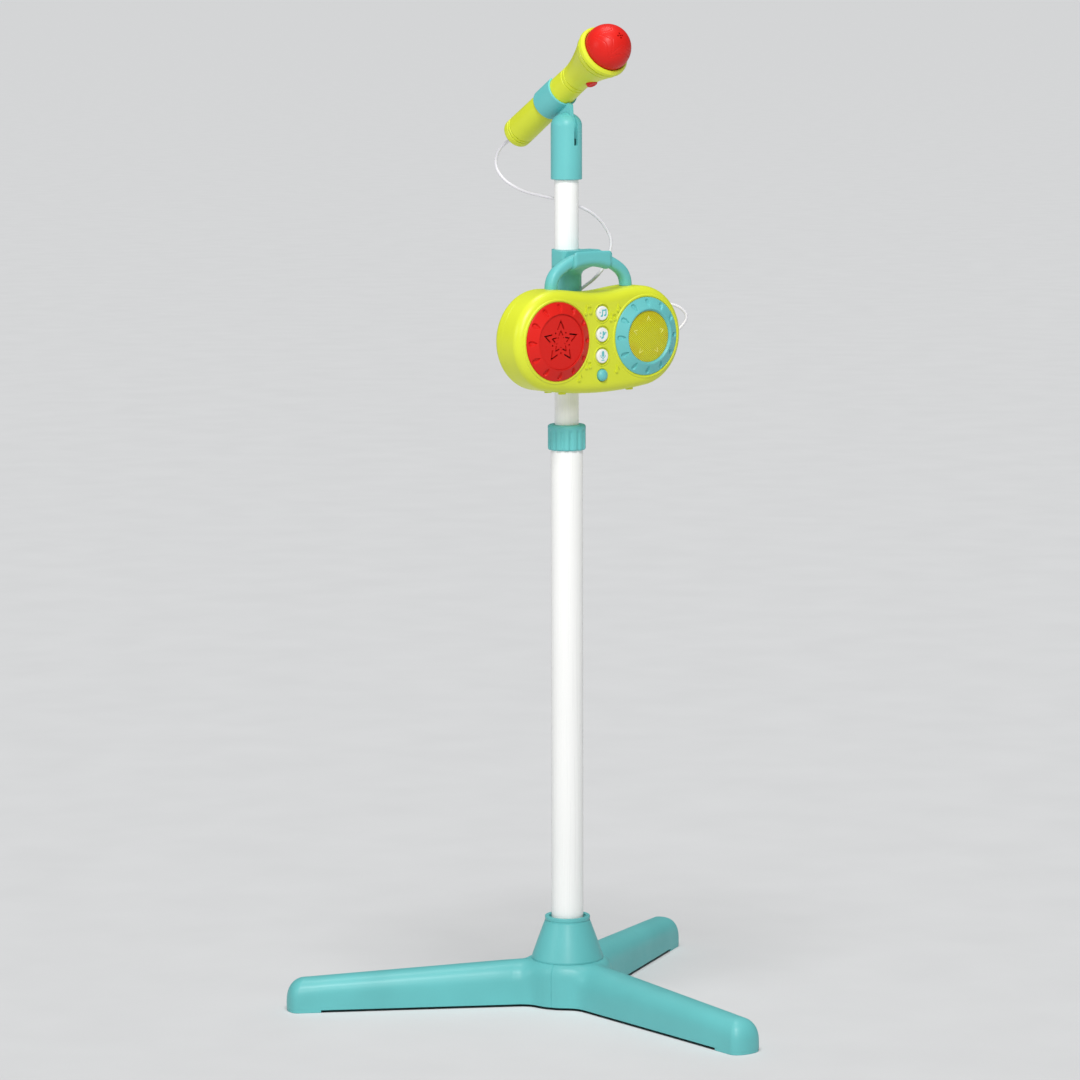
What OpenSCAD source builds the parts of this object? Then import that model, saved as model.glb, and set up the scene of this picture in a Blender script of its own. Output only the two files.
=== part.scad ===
// Toy microphone on an adjustable three-legged stand with a clip-on speaker box.
// Origin: on the floor, under the pole's axis. +Z up, front towards -Y, millimetres.

/* [Base] */
// Distance from the pole's axis to the tip of each leg
leg_length = 283; // [270:1:300]
// Half the width of a leg where it leaves the hub
leg_root_w = 20; // [19:0.5:21]
// Half the width of a leg at its foot
leg_tip_w = 17.3; // [16:0.1:18.5]
// Height of the hub's flat top, and of a leg's crest beside it
hub_top = 44.5; // [42:0.5:47]
// How much a leg's crest falls for each millimetre outwards
leg_fall = 0.0535; // [0.04:0.0005:0.06]
// Radius of the hub
hub_r = 45.5; // [45:0.5:48]
// Wall thickness of the legs
leg_wall = 2.4; // [2:0.1:3]
// Length of the foot pad under each leg's tip
pad_len = 32; // [26:1:40]
// Height of the legs' lower edge above the floor, between the pads
pad_step = 2.5; // [2:0.1:3]
// Height of the cone's top rim
cone_top = 88; // [84:1:94]
// Radius of the cone's foot
cone_foot_r = 36; // [35:0.5:37]
// Radius of the cone's top rim
cone_rim_r = 22.4; // [22:0.1:23.5]

/* [Pole] */
// Radius of the fixed lower tube
low_r = 16; // [15.5:0.1:16.5]
// Radius of the sliding upper tube
up_r = 12; // [11.5:0.1:12.2]
// Wall thickness of both tubes
tube_wall = 1.4; // [1.2:0.1:1.6]
// Height of the lower tube's top end
low_top = 556; // [540:1:570]
// Height of the upper tube's lower end at rest
up_bottom = 420; // [410:1:430]
// Radius of the lock collar
collar_r = 18.9; // [18.5:0.1:20]
// Height of the lock collar
collar_h = 27; // [25:1:29]
// Number of grip flutes round the lock collar
flutes = 14; // [10:1:16]

/* [Clip mount] */
// Radius of the clip mount
mount_r = 15.4; // [15:0.1:16]
// Height of the clip mount's lower end
mount_z = 824.5; // [820:0.5:827]
// Height of the clip's tilt axis
pivot_z = 878; // [877:0.5:879]
// Width of the slot that the clip's tongue sits in
slot_w = 4.2; // [4:0.1:4.4]

/* [Microphone] */
// Angle of the microphone above the horizontal
mic_tilt = 31; // [28:0.5:33]
// Radius of the microphone's red ball
ball_r = 23; // [22.6:0.1:23.1]
// Height of the ball's centre
ball_z = 953.8; // [953.4:0.1:954.4]
// How far the ball's centre lies in front of the pole's axis
ball_out = 64.8; // [64.2:0.1:65.2]
// Radius of the rim behind the ball
rim_r = 27; // [26.8:0.1:27.6]
// Radius of the handle inside the clip
grip_r = 14.8; // [14.6:0.1:14.9]
// Distance from the ball's centre to the handle's tail end
tail_s = 171; // [169:1:172]
// Length of the clip's ring along the handle
ring_len = 29; // [27:1:31]

/* [Speaker box] */
// Half the width of the box
box_w = 103; // [102:0.5:105]
// Height of the box's middle above the floor
box_z = 668.5; // [667.5:0.5:670]
// Radius of the box's two round ends
lobe_r = 49.5; // [49:0.5:50.5]
// How far the box's top dips at its waist
waist_dip = 4.5; // [3:0.5:7]
// How far the box's two ends are raised above its middle
lobe_lift = 2.4; // [2:0.1:2.8]
// Distance of the box's face in front of the pole's axis
face_out = 56; // [56:0.5:57]
// Distance of the box's back in front of the pole's axis
back_out = 16; // [15.8:0.1:16.5]
// Distance of the seam between the two shells in front of the pole's axis
seam_out = 30; // [29:0.5:31]
// Wall thickness of the shells
shell = 2.2; // [2:0.1:2.4]
// Distance of each dial from the box's middle
dial_x = 55; // [54:0.5:56]
// Radius of the dials
dial_r = 38.5; // [38:0.1:39]
// How far each dial's lip stands out of the face
dial_rise = 6.5; // [5.5:0.1:7]
// Radius of the white face buttons
key_r = 6.9; // [6.7:0.1:7.2]
// Radius of the round volume button
vol_r = 5.8; // [5.2:0.1:6]

/* [Handle and bracket] */
// Distance of each handle leg from the box's middle
arch_x = 46.5; // [46:0.5:48]
// Radius of the handle's bar
bar_r = 6; // [5.6:0.1:6.2]
// Height of the handle's bar above the floor, at its crown
bar_z = 749.5; // [748.5:0.5:749.5]
// Radius of the handle's flat crown
crown_r = 66; // [62:1:80]
// Distance of the handle in front of the pole's axis
bar_out = 34.5; // [34.2:0.1:35]
// Outer radius of the bracket's sleeve
sleeve_r = 14.75; // [14.5:0.05:14.9]
// Half the width of the bracket's hook
hook_w = 24; // [20:1:25]

/* [Cord] */
// Radius of the microphone's cord
cord_r = 1.6; // [1.4:0.1:1.8]

/* [Hidden] */
$fn = 64;
TEAL = "#74C7C8";
LIME = "#CDDC39";
RED = "#DC2823";
WHITE = "#F4F4F2";
STEEL = "#B9BDC2";
DARK = "#3A3D42";
BOARD = "#2E7D4F";

clear = 0.3;   // gap between pieces that move past each other
fit = 0.08;    // radial clearance of a running fit
over = 1;      // how far a cutting shape runs past the wall that it cuts

// Base
pad_round = 10;                     // length of the rounded end of a foot, in plan
tip_fall_from = leg_length - 25;    // where a leg's crest starts to curve down
tip_edge_z = 8;                     // height of the upright wall at a leg's tip
hub_round = [9.5, 14.5];            // width and height of the hub's rounded upper edge
plate_z = [5.6, 8];                 // underside and top of the base plate
plate_r = hub_r - leg_wall - 0.6;
boss_ring_r = 31;                   // where the base screws stand round the axis
boss_r = 3.6;
base_screw_r = 1.5;
cone_wall = 2.4;
socket_r = low_r + 0.1;             // bore that the lower tube stands in
socket_mouth_r = low_r + 1.7;       // wider mouth of that bore
rim_h = 3.6;                        // height of the rim ring on the cone

// Pole
collar_z = low_top;
collet_r = low_r - 0.8;             // the collet's fingers, inside the collar
bore_fit = up_r + fit;
bush_h = 16;
up_top = 850;

// Microphone axis: s is the distance behind the ball's centre, local +Z
ring_s = [82, 82 + ring_len];
ring_r = grip_r + 1.8;
bell_s = 57;                        // joint between bell and handle
cap_s = 158.5;                      // joint between handle and tail cap
button_s = 39;
relief_s = tail_s + 2;                    // end of the relief, short of the cord
tail_r = grip_r + 0.5;

// Box
lobe_x = box_w - lobe_r;
box_low = 51;                       // depth of the box's underside below its middle
belly_r = ((lobe_x * lobe_x + (lobe_lift + box_low) * (lobe_lift + box_low) - lobe_r * lobe_r)
    / (lobe_lift + box_low - lobe_r)) / 2;
belly_a = asin(lobe_x / (belly_r - lobe_r));
face_round = 10;
back_round = 7;
face_in = face_out - shell;         // inner side of the face wall
back_in = back_out + shell;         // inner side of the back wall
dial_hole_r = dial_r - 2;
throat_r = 27;                      // opening inside the red dial's lip
lens_r = 25.4;                      // opening inside the teal dial's lip
dial_z = box_z + lobe_lift;
dial_front = face_out + dial_rise;
dial_rear = face_out - 3.6;
key_z = [box_z + 27.6, box_z + 6.6, box_z - 14.4];
vol_z = box_z - 33.1;
key_top = face_out + 1.6;
key_gutter = 1.8;                   // width of the groove round a white button
flange_d = [face_in - 1.6, face_in - 0.4];   // a button's retaining flange
box_post = [[22, -37.5], [-22, -37.5], [22, 36.5], [-22, 36.5]];
screw_r = 1.45;
tray = [[-82, -24], [-26, 24]];     // battery bay, from the box's middle
tray_depth = 19.8;
cell_r = 7.2;
cell_len = 50;
cell_pitch = 15.5;
gland_at = [-24, box_z];
gland_x = 110;

// Handle and bracket
arch_bend = 20;                     // radius of the handle's shoulders
arch_mid = bar_z - crown_r;         // height of the middle of the crown's circle
arch_foot = box_z + lobe_lift + lobe_r + 0.1;
sleeve_z = [640, 756];
hook_wall = 2.4;

// The cord's route, from the microphone's tail to the gland on the box
cord_route = [
    [0, 83.8, 864.5], [0, 91, 860.8], [0, 98.9, 857], [0, 106, 852.5], [0, 112, 846],
    [0, 114.5, 837.5], [0, 111, 829], [0, 100.5, 820.8], [0, 85, 814.6], [0, 65, 809.8],
    [0, 41, 807], [1, 24, 805], [6, 18, 803], [14, 15, 800], [23, 11.5, 797.3],
    [36, 8, 791], [47.5, 6, 782], [55, 4, 771.5], [57.5, 2, 762.5], [56, 1, 753.5],
    [51, 0.5, 742.5], [44, 0, 733], [34, 0.5, 724.5], [24, 4, 717], [17, 11, 709],
    [16, 17, 700], [22, 20, 691], [34, 17.5, 685], [50, 11, 684], [68, 5, 688],
    [86, 0, 693], [103, -6, 697], [117, -14, 697.5], [126.5, -21, 694],
    [131.5, -25.5, 687.5], [130.5, -26.5, 681], [124.5, -25.5, 674], [117.5, -24.2, 669.8],
    [110.3, -24, 668.5]
];
cord_sides = 8;
cord_steps = 2;                     // rings between two points of the route

// ---------------------------------------------------------------- shared shapes

// A closed skin through equal rings of points, capped at both ends
module loft(rings) {
    n = len(rings[0]);
    last = len(rings) - 1;
    polyhedron(
        points = [for (r = rings) each r],
        faces = concat(
            [[for (j = [0 : n - 1]) j]],
            [for (i = [0 : last - 1], j = [0 : n - 1])
                [i * n + j, (i + 1) * n + j, (i + 1) * n + (j + 1) % n]],
            [for (i = [0 : last - 1], j = [0 : n - 1])
                [i * n + j, (i + 1) * n + (j + 1) % n, i * n + (j + 1) % n]],
            [[for (j = [n - 1 : -1 : 0]) last * n + j]]
        )
    );
}

module ring(r, bore, z) {
    difference() {
        translate([0, 0, z[0]]) cylinder(r = r, h = z[1] - z[0]);
        translate([0, 0, z[0] - over]) cylinder(r = bore, h = z[1] - z[0] + 2 * over);
    }
}

// Local +Z runs back along the microphone from the ball's centre; local +Y is its underside
module on_mic_axis() {
    translate([0, -ball_out, ball_z]) rotate([-90 - mic_tilt, 0, 0]) children();
}

// Local +Z runs out of the box's face; depth is counted from the pole's axis
module on_face(x, z) {
    translate([x, 0, z]) rotate([90, 0, 0]) children();
}

// ---------------------------------------------------------------- base

function leg_half(u) =
    let(flat = leg_root_w + (leg_tip_w - leg_root_w) * min(1, (u - hub_r) / 200))
    let(over_end = max(0, u - (leg_length - pad_round)) / pad_round)
    flat * sqrt(1 - over_end * over_end);

function leg_crest(u) =
    let(z = hub_top - leg_fall * (min(u, tip_fall_from) - hub_r))
    let(t = max(0, u - tip_fall_from) / (leg_length - tip_fall_from))
    tip_edge_z + (z - tip_edge_z) * sqrt(1 - t * t);

// One D-shaped section of a leg, at distance u from the pole's axis
function leg_section(u, inset, foot) =
    let(w = leg_half(u) - inset, top = leg_crest(u) - inset, side = top * 0.45)
    concat(
        [[u, w, foot]],
        [for (a = [0 : 15 : 180])
            [u, w * sign(cos(a)) * pow(abs(cos(a)), 0.85), side + (top - side) * pow(sin(a), 0.85)]],
        [[u, -w, foot]]
    );

leg_stations = [40, 60, 100, 150, 200, 240, 258, 264, 269, 273, 276.5];
tip_stations = [279.5, 281.6, 282.8];

function stretch(u) = u * leg_length / 283;

module foot_pad() {
    straight = leg_length - pad_round;
    w = leg_half(straight);
    linear_extrude(height = pad_step + leg_wall)
        polygon(concat(
            [[leg_length - pad_len, w], [leg_length - pad_len, -w]],
            [for (a = [-90 : 10 : 90]) [straight + pad_round * cos(a), w * sin(a)]]
        ));
}

module hub_sector() {
    inner = socket_r + cone_wall + 1.5;
    in_r = hub_r - leg_wall;
    flat_r = hub_r - hub_round[0];
    rotate([0, 0, -60]) rotate_extrude(angle = 120)
        polygon(concat(
            [[inner, hub_top - leg_wall], [inner, hub_top]],
            [for (a = [90 : -15 : 0])
                [flat_r + hub_round[0] * cos(a), hub_top - hub_round[1] * (1 - sin(a))]],
            [[hub_r, pad_step], [in_r, pad_step]],
            [for (a = [0 : 15 : 90])
                [flat_r + (hub_round[0] - leg_wall) * cos(a),
                    hub_top - hub_round[1] + (hub_round[1] - leg_wall) * sin(a)]]
        ));
}

// One leg with its third of the hub, pointing along +X
module leg() {
    difference() {
        union() {
            difference() {
                loft([for (u = concat(leg_stations, tip_stations))
                    leg_section(stretch(u), 0, pad_step)]);
                loft([for (u = concat([38], leg_stations))
                    leg_section(stretch(u), leg_wall, -over)]);
            }
            foot_pad();
            hub_sector();
            for (a = [-30, 30]) rotate([0, 0, a]) translate([boss_ring_r, 0, plate_z[1] + 0.1])
                cylinder(r = boss_r, h = hub_top - leg_wall - plate_z[1]);
        }
        for (a = [-30, 30]) rotate([0, 0, a]) translate([boss_ring_r, 0, plate_z[1] - over])
            cylinder(r = base_screw_r + 0.05, h = 20);
    }
}

module leg_front() { color(TEAL) rotate([0, 0, -90]) leg(); }

module leg_left() { color(TEAL) rotate([0, 0, 150]) leg(); }

module leg_right() { color(TEAL) rotate([0, 0, 30]) leg(); }

module base_plate() {
    color(DARK) difference() {
        translate([0, 0, plate_z[0]]) cylinder(r = plate_r, h = plate_z[1] - plate_z[0]);
        for (a = [0 : 60 : 300]) rotate([0, 0, a]) translate([boss_ring_r, 0, plate_z[0] - over])
            cylinder(r = base_screw_r + 0.2, h = 6);
        translate([0, 0, plate_z[0] - over]) cylinder(r = 2.3, h = 6);
    }
}

module base_cone() {
    neck = cone_top - rim_h;
    in_r = socket_r + cone_wall;
    color(TEAL) rotate_extrude() polygon([
        [cone_foot_r, hub_top + 0.1], [cone_foot_r, hub_top + 1.7],
        [cone_rim_r + 0.3, neck - 1], [cone_rim_r - 0.4, neck - 0.8], [cone_rim_r - 0.4, neck],
        [cone_rim_r, neck + 0.4], [cone_rim_r, cone_top - 0.7], [cone_rim_r - 0.7, cone_top],
        [socket_mouth_r + 0.8, cone_top], [socket_mouth_r, cone_top - 0.8],
        [socket_mouth_r, cone_top - 8.5], [socket_r, cone_top - 9.5], [socket_r, plate_z[1] + 0.1],
        [in_r, plate_z[1] + 0.1], [in_r, neck - 2], [cone_rim_r - cone_wall + 0.5, neck - 2],
        [cone_foot_r - cone_wall, hub_top + 1.7], [cone_foot_r - cone_wall, hub_top + 0.1]
    ]);
}

module pan_screw(r, head_r, head_h, len) {
    translate([0, 0, -head_h]) cylinder(r = head_r, h = head_h);
    translate([0, 0, -0.01]) cylinder(r = r, h = len);
}

module base_screws() {
    color(STEEL) for (a = [0 : 60 : 300]) rotate([0, 0, a]) translate([boss_ring_r, 0, plate_z[0]])
        pan_screw(base_screw_r, 3, 1.8, 14);
}

// ---------------------------------------------------------------- pole

module lower_tube() { color(WHITE) ring(low_r, low_r - tube_wall, [plate_z[1], low_top]); }

module tube_foot_plug() { color(DARK) ring(low_r - tube_wall - 0.1, 2.1, [plate_z[1], 26]); }

module tube_screw() { color(STEEL) translate([0, 0, plate_z[0]]) pan_screw(2, 4, 2.2, 16); }

module clamp_collet() {
    fingers = [low_top + 1.5, low_top + 20];
    color(WHITE) difference() {
        union() {
            ring(low_r - tube_wall - 0.05, bore_fit, [low_top - 36, low_top]);
            ring(low_r, bore_fit, [low_top, fingers[0]]);
            ring(collet_r, bore_fit, fingers);
        }
        for (a = [0, 90]) rotate([0, 0, a]) translate([-low_r, -1, low_top + 6])
            cube([2 * low_r, 2, 20]);
    }
}

module lock_collar() {
    low = collar_z + 1.6;
    high = collar_z + collar_h;
    lip = high - 6;
    color(TEAL) difference() {
        rotate_extrude() polygon([
            [collet_r + fit, low], [collar_r - 1.2, low], [collar_r, low + 1.2],
            [collar_r, high - 2.6], [collar_r - 2.4, high], [up_r + clear, high],
            [up_r + clear, lip], [collet_r + fit, lip]
        ]);
        for (i = [0 : flutes - 1]) rotate([0, 0, i * 360 / flutes])
            translate([collar_r + 1.1, 0, low - over]) cylinder(r = 2.1, h = collar_h - 6);
    }
}

module guide_bush() {
    color(WHITE) {
        ring(low_r - tube_wall - fit, up_r - tube_wall - 2, [up_bottom - 3, up_bottom]);
        ring(low_r - tube_wall - fit, up_r + 0.03, [up_bottom, up_bottom + bush_h]);
    }
}

module upper_tube() { color(WHITE) ring(up_r, up_r - tube_wall, [up_bottom, up_top]); }

// ---------------------------------------------------------------- clip mount and clip

module clip_mount() {
    dome = [mount_r, 13];
    shoulder = pivot_z - 1;
    slot_floor = pivot_z - 20;
    color(TEAL) difference() {
        rotate_extrude() polygon(concat(
            [[0, mount_z], [mount_r - 1, mount_z], [mount_r, mount_z + 1]],
            [for (a = [0 : 10 : 90]) [dome[0] * cos(a), shoulder + dome[1] * sin(a)]]
        ));
        translate([0, 0, mount_z - over]) cylinder(r = up_r + 0.03, h = up_top - mount_z + over);
        translate([-slot_w / 2, -20, slot_floor]) cube([slot_w, 40, 40]);
        translate([-12, 0, pivot_z]) rotate([0, 90, 0]) cylinder(r = 2.02, h = 40);
        translate([mount_r - 3.4, 0, pivot_z]) rotate([0, 90, 0]) cylinder(r = 3.7, h = 10);
    }
}

module pivot_screw() {
    color(STEEL) translate([-11.8, 0, pivot_z]) rotate([0, 90, 0]) {
        cylinder(r = 2, h = mount_r + 8.4);
        translate([0, 0, mount_r + 8.4]) cylinder(r = 3.5, h = 2);
    }
}

module mic_clip() {
    tongue_r = 12.8;
    half = (slot_w - 0.5) / 2;
    gap = 60;
    color(TEAL) difference() {
        union() {
            on_mic_axis() rotate([0, 0, 270 + gap / 2]) rotate_extrude(angle = 360 - gap)
                polygon([
                    [grip_r + fit, ring_s[0]], [ring_r - 0.8, ring_s[0]], [ring_r, ring_s[0] + 0.8],
                    [ring_r, ring_s[1] - 0.8], [ring_r - 0.8, ring_s[1]], [grip_r + fit, ring_s[1]]
                ]);
            translate([-half, 0, pivot_z]) rotate([90, 0, 90]) linear_extrude(height = 2 * half) {
                circle(r = tongue_r);
                polygon([[-10, 10], [-8.7, 19.5], [1, 24], [12, 24], [12, 8]]);
            }
        }
        on_mic_axis() translate([0, 0, 40]) cylinder(r = grip_r + 0.6, h = ring_s[0] - 40);
        on_mic_axis() cylinder(r = grip_r + fit, h = tail_s);
        translate([-mount_r, 0, pivot_z]) rotate([0, 90, 0]) cylinder(r = 2 + fit, h = 2 * mount_r);
    }
}

// ---------------------------------------------------------------- microphone

// Radii along the flared bell, as [s, radius] from its lip to its joint
bell_line = [
    [4, rim_r - 1.1], [5.4, rim_r], [9.6, rim_r], [10.4, rim_r - 0.9], [12, rim_r - 1.3],
    [17, rim_r - 2.1], [18, rim_r - 3], [23, 22.2], [30, 19.9], [37, 17.9], [44, 16.3],
    [50, 15.2], [bell_s, 14.6]
];

function reversed(list) = [for (i = [len(list) - 1 : -1 : 0]) list[i]];

module mic_bell() {
    wall = 2.2;
    tenon = 11.6;
    color(LIME) on_mic_axis() difference() {
        rotate_extrude() polygon(concat(
            [[ball_r + 0.6, 4.2]],
            [for (p = bell_line) [p[1], p[0]]],
            [[tenon, bell_s], [tenon, bell_s + 9], [tenon - 1.6, bell_s + 9]],
            [for (p = reversed(bell_line)) if (p[0] > 17) [p[1] - wall - (p[0] == bell_s ? 1.5 : 0), p[0]]],
            [[ball_r + 0.2, 17], [ball_r + 0.2, 5.4]]
        ));
        translate([0, 0, button_s]) rotate([-90, 0, 0]) cylinder(r = 5.8, h = 30);
    }
}

module mic_handle() {
    bore = 11.7;
    groove = 0.6;
    color(LIME) on_mic_axis() rotate_extrude() polygon([
        [bore, bell_s + 0.05], [14.6 - groove, bell_s + 0.05], [14.6, bell_s + 0.6],
        [14.6, bell_s + 4.2], [14.6 - groove, bell_s + 4.8], [14.6, bell_s + 5.4],
        [grip_r, 80], [grip_r, 113], [tail_r, cap_s - 0.6], [tail_r - groove, cap_s - 0.05],
        [bore, cap_s - 0.05]
    ]);
}

module mic_tail_cap() {
    rim = 4;
    color(LIME) on_mic_axis() rotate_extrude() polygon(concat(
        [[2.5, tail_s], [2.5, tail_s - 2.4], [tail_r - 4.8, tail_s - 2.4],
            [tail_r - 4.8, cap_s - 8], [11.6, cap_s - 8], [11.6, cap_s], [tail_r - 0.6, cap_s],
            [tail_r, cap_s + 0.6], [tail_r, cap_s + 2.6], [tail_r - 0.6, cap_s + 3.2],
            [tail_r, cap_s + 3.8]],
        [for (a = [0 : 15 : 90]) [tail_r - rim + rim * cos(a), tail_s - rim + rim * sin(a)]]
    ));
}

module mic_ball() {
    wall = 1.8;
    seat = 14;
    hole_pitch = 2.3;
    color(RED) on_mic_axis() difference() {
        rotate_extrude() polygon(concat(
            [for (a = [-90 : 5 : asin(seat / ball_r)]) [ball_r * cos(a), ball_r * sin(a)]],
            [[sqrt(ball_r * ball_r - seat * seat), seat]],
            [for (a = [asin(seat / (ball_r - wall)) : -5 : -85])
                [(ball_r - wall) * cos(a), (ball_r - wall) * sin(a)]],
            [[0, wall - ball_r]]
        ));
        for (p = [[0, 0], [1, 0], [-1, 0], [0, 1], [0, -1]])
            translate([p[0] * hole_pitch, p[1] * hole_pitch, -ball_r - over])
                cylinder(r = 0.6, h = 2 * wall + over);
    }
}

module capsule_holder() {
    color(DARK) on_mic_axis() rotate_extrude() polygon([
        [4.95, -13], [6.6, -13], [6.6, 14.6], [22, 14.6], [22, 16.4], [4.95, 16.4]
    ]);
}

module mic_capsule() { color(STEEL) on_mic_axis() translate([0, 0, -14]) cylinder(r = 4.85, h = 6); }

module mic_board() {
    color(BOARD) on_mic_axis() {
        translate([-6, 7.8, 28]) cube([12, 1.3, 26]);
        translate([-2, 9.05, button_s - 2]) cube([4, 0.9, 4]);
    }
}

module mic_button() {
    r = 5.5;
    dome_h = 1.2;
    color(RED) on_mic_axis() translate([0, 0, button_s]) rotate([-90, 0, 0]) rotate_extrude()
        polygon(concat(
            [[0, 11.3], [6.3, 11.3], [6.3, 12.4], [r, 12.4]],
            [for (a = [0 : 15 : 90]) [r - 1 + cos(a), 17.8 + dome_h * sin(a)]],
            [[0, 19.2]]
        ));
}

module cord_relief() {
    color(WHITE) on_mic_axis() rotate_extrude() polygon([
        [0, tail_s - 5], [4, tail_s - 5], [4, tail_s - 2.5], [2.4, tail_s - 2.5],
        [2.4, tail_s], [2.1, relief_s], [0, relief_s]
    ]);
}

// ---------------------------------------------------------------- speaker box

// Outline of the box, drawn inwards by inset, as [x, z] about its middle
function box_outline(inset) =
    let(r = lobe_r - inset)
    let(side = [for (i = [0 : 15]) let(a = belly_a - 90 + (180 - belly_a) * i / 15)
        [lobe_x + r * cos(a), lobe_lift + r * sin(a)]])
    concat(
        side,
        [for (i = [1 : 9]) let(x = lobe_x * (1 - i / 5))
            [x, lobe_lift + r - waist_dip * (1 + cos(180 * x / lobe_x)) / 2]],
        [for (p = reversed(side)) [-p[0], p[1]]],
        [for (i = [1 : 7]) let(a = belly_a * (i / 4 - 1))
            [(belly_r - inset) * sin(a), belly_r - box_low - (belly_r - inset) * cos(a)]]
    );

function box_ring(inset, out) = [for (p = box_outline(inset)) [p[0], -out, box_z + p[1]]];

// Rings round an edge of radius r, from a straight wall at depth out to the flat at out + dir * r
function edge_rings(inset, out, dir, r) =
    [for (a = [0 : 18 : 90]) box_ring(inset + r * (1 - cos(a)), out + dir * r * sin(a))];

module front_skin() {
    loft(concat(
        reversed(edge_rings(shell, face_out - face_round, 1, face_round - shell)),
        [box_ring(shell, seam_out), box_ring(0, seam_out)],
        edge_rings(0, face_out - face_round, 1, face_round)
    ));
}

module rear_skin() {
    loft(concat(
        reversed(edge_rings(0, back_out + back_round, -1, back_round)),
        [box_ring(0, seam_out - 0.1), box_ring(shell, seam_out - 0.1)],
        edge_rings(shell, back_out + back_round, -1, back_round - shell)
    ));
}

module box_front_shell() {
    color(LIME) difference() {
        union() {
            front_skin();
            for (z = key_z) on_face(0, z)
                ring(key_r + key_gutter + 1.1, key_r + key_gutter, [face_in, face_out + 0.6]);
            for (x = [-dial_x, dial_x]) on_face(x, dial_z)
                ring(dial_r + 2.7, dial_r + 0.4, [face_in, face_out + 0.6]);
            for (p = box_post) on_face(p[0], box_z + p[1]) translate([0, 0, back_in + 3.4])
                cylinder(r = 3.6, h = face_in - back_in - 3);
        }
        for (z = key_z) on_face(0, z) {
            translate([0, 0, face_in - over]) cylinder(r = key_r + clear, h = 8);
            translate([0, 0, face_out - 1]) cylinder(r = key_r + key_gutter, h = 8);
        }
        on_face(0, vol_z) translate([0, 0, face_in - over]) cylinder(r = vol_r + clear, h = 8);
        for (x = [-dial_x, dial_x]) on_face(x, dial_z) translate([0, 0, face_in - over])
            cylinder(r = dial_hole_r, h = 8);
        for (p = box_post) on_face(p[0], box_z + p[1]) translate([0, 0, back_in])
            cylinder(r = screw_r + 0.05, h = 20);
        for (x = [-arch_x, arch_x]) translate([x, -bar_out, arch_foot - 8])
            cylinder(r = 3.05, h = 12);
    }
}

module box_rear_shell() {
    low = tray[0];
    high = tray[1];
    wall = 1.6;
    color(LIME) difference() {
        union() {
            rear_skin();
            translate([low[0] - wall, -back_out - tray_depth - wall, box_z + low[1] - wall])
                cube([high[0] - low[0] + 2 * wall, tray_depth - 0.5, high[1] - low[1] + 2 * wall]);
            for (p = box_post) on_face(p[0], box_z + p[1]) translate([0, 0, back_in - over])
                cylinder(r = 4.8, h = 4.3);
        }
        translate([low[0], -back_out - tray_depth, box_z + low[1]])
            cube([high[0] - low[0], tray_depth + over, high[1] - low[1]]);
        for (p = box_post) on_face(p[0], box_z + p[1]) {
            translate([0, 0, back_out - over]) cylinder(r = screw_r + 0.2, h = 10);
            translate([0, 0, back_out - over]) cylinder(r = 3.3, h = 4.7);
        }
        translate([box_w - 8, gland_at[0], gland_at[1]]) rotate([0, 90, 0]) cylinder(r = 3.25, h = 12);
    }
}

// A slim double-pointed shape that cuts a leaf-shaped dimple
module leaf_cutter() {
    half = 4.4;
    bulge = 2.4;
    rotate_extrude($fn = 32)
        polygon([for (t = [-1 : 0.25 : 1]) [bulge * (1 - t * t), half * t]]);
}

// Conical dial ring with finger dimples round its slope
module bezel(side, throat, slant) {
    brow = 27.9;                    // radius of the lip's outer edge
    foot = 1.2;
    slope = atan2(dial_rise - foot, dial_r - brow);
    inner = dial_hole_r - 2.5;
    on_face(side * dial_x, dial_z) difference() {
        rotate_extrude() polygon([
            [throat, face_out - 1.8], [throat, dial_front - 0.6 - slant],
            [throat + 0.4 + slant, dial_front], [brow - 0.4, dial_front], [brow, dial_front - 0.2],
            [dial_r - 0.6, face_out + foot], [dial_r, face_out + 0.6], [dial_r, face_out + 0.05],
            [dial_hole_r - 0.2, face_out + 0.05], [dial_hole_r - 0.2, dial_rear], [inner, dial_rear],
            [inner, face_out + 0.4], [throat + 2, dial_front - 3 - slant], [throat + 2, face_out - 1.8]
        ]);
        for (a = [0 : 30 : 330]) rotate([0, 0, a])
            translate([33.3, 0, face_out + (foot + dial_rise) / 2 + 1.9])
                rotate([0, slope - 90, 0]) leaf_cutter();
    }
}

module red_bezel() { color(RED) bezel(-1, throat_r, 0); }

module light_bezel() { color(TEAL) bezel(1, lens_r, 1.2); }

// A V-shaped slot: two arms that meet at radius tip on the star's outline
module chevron(tip, arm, width) {
    for (side = [-1, 1]) translate([0, tip, 0]) rotate([0, 0, side * 28])
        translate([-width / 2, -arm, 0]) cube([width, arm, 8]);
}

// Slots along a star's points and a round hole in each of its inner corners
module star_slots(tip, arm, dot) {
    for (a = [0 : 72 : 288]) rotate([0, 0, a]) {
        chevron(tip, arm, 1.3);
        rotate([0, 0, 36]) translate([0, tip * 0.526, 0]) cylinder(r = dot, h = 8);
    }
}

module star_grille() {
    top = dial_front - 1.3;
    rim = throat_r - 0.1;
    color(RED) on_face(-dial_x, dial_z) difference() {
        rotate_extrude() polygon([
            [0, top - 2], [rim - 2, top - 2], [rim - 2, dial_rear], [dial_hole_r - 2.7, dial_rear],
            [dial_hole_r - 2.7, face_out - 1.9], [rim, face_out - 1.9], [rim, top], [0, top]
        ]);
        translate([0, 0, top - 5]) {
            star_slots(21.4, 8.9, 0.95);
            star_slots(11.3, 4.7, 0.7);
        }
    }
}

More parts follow.
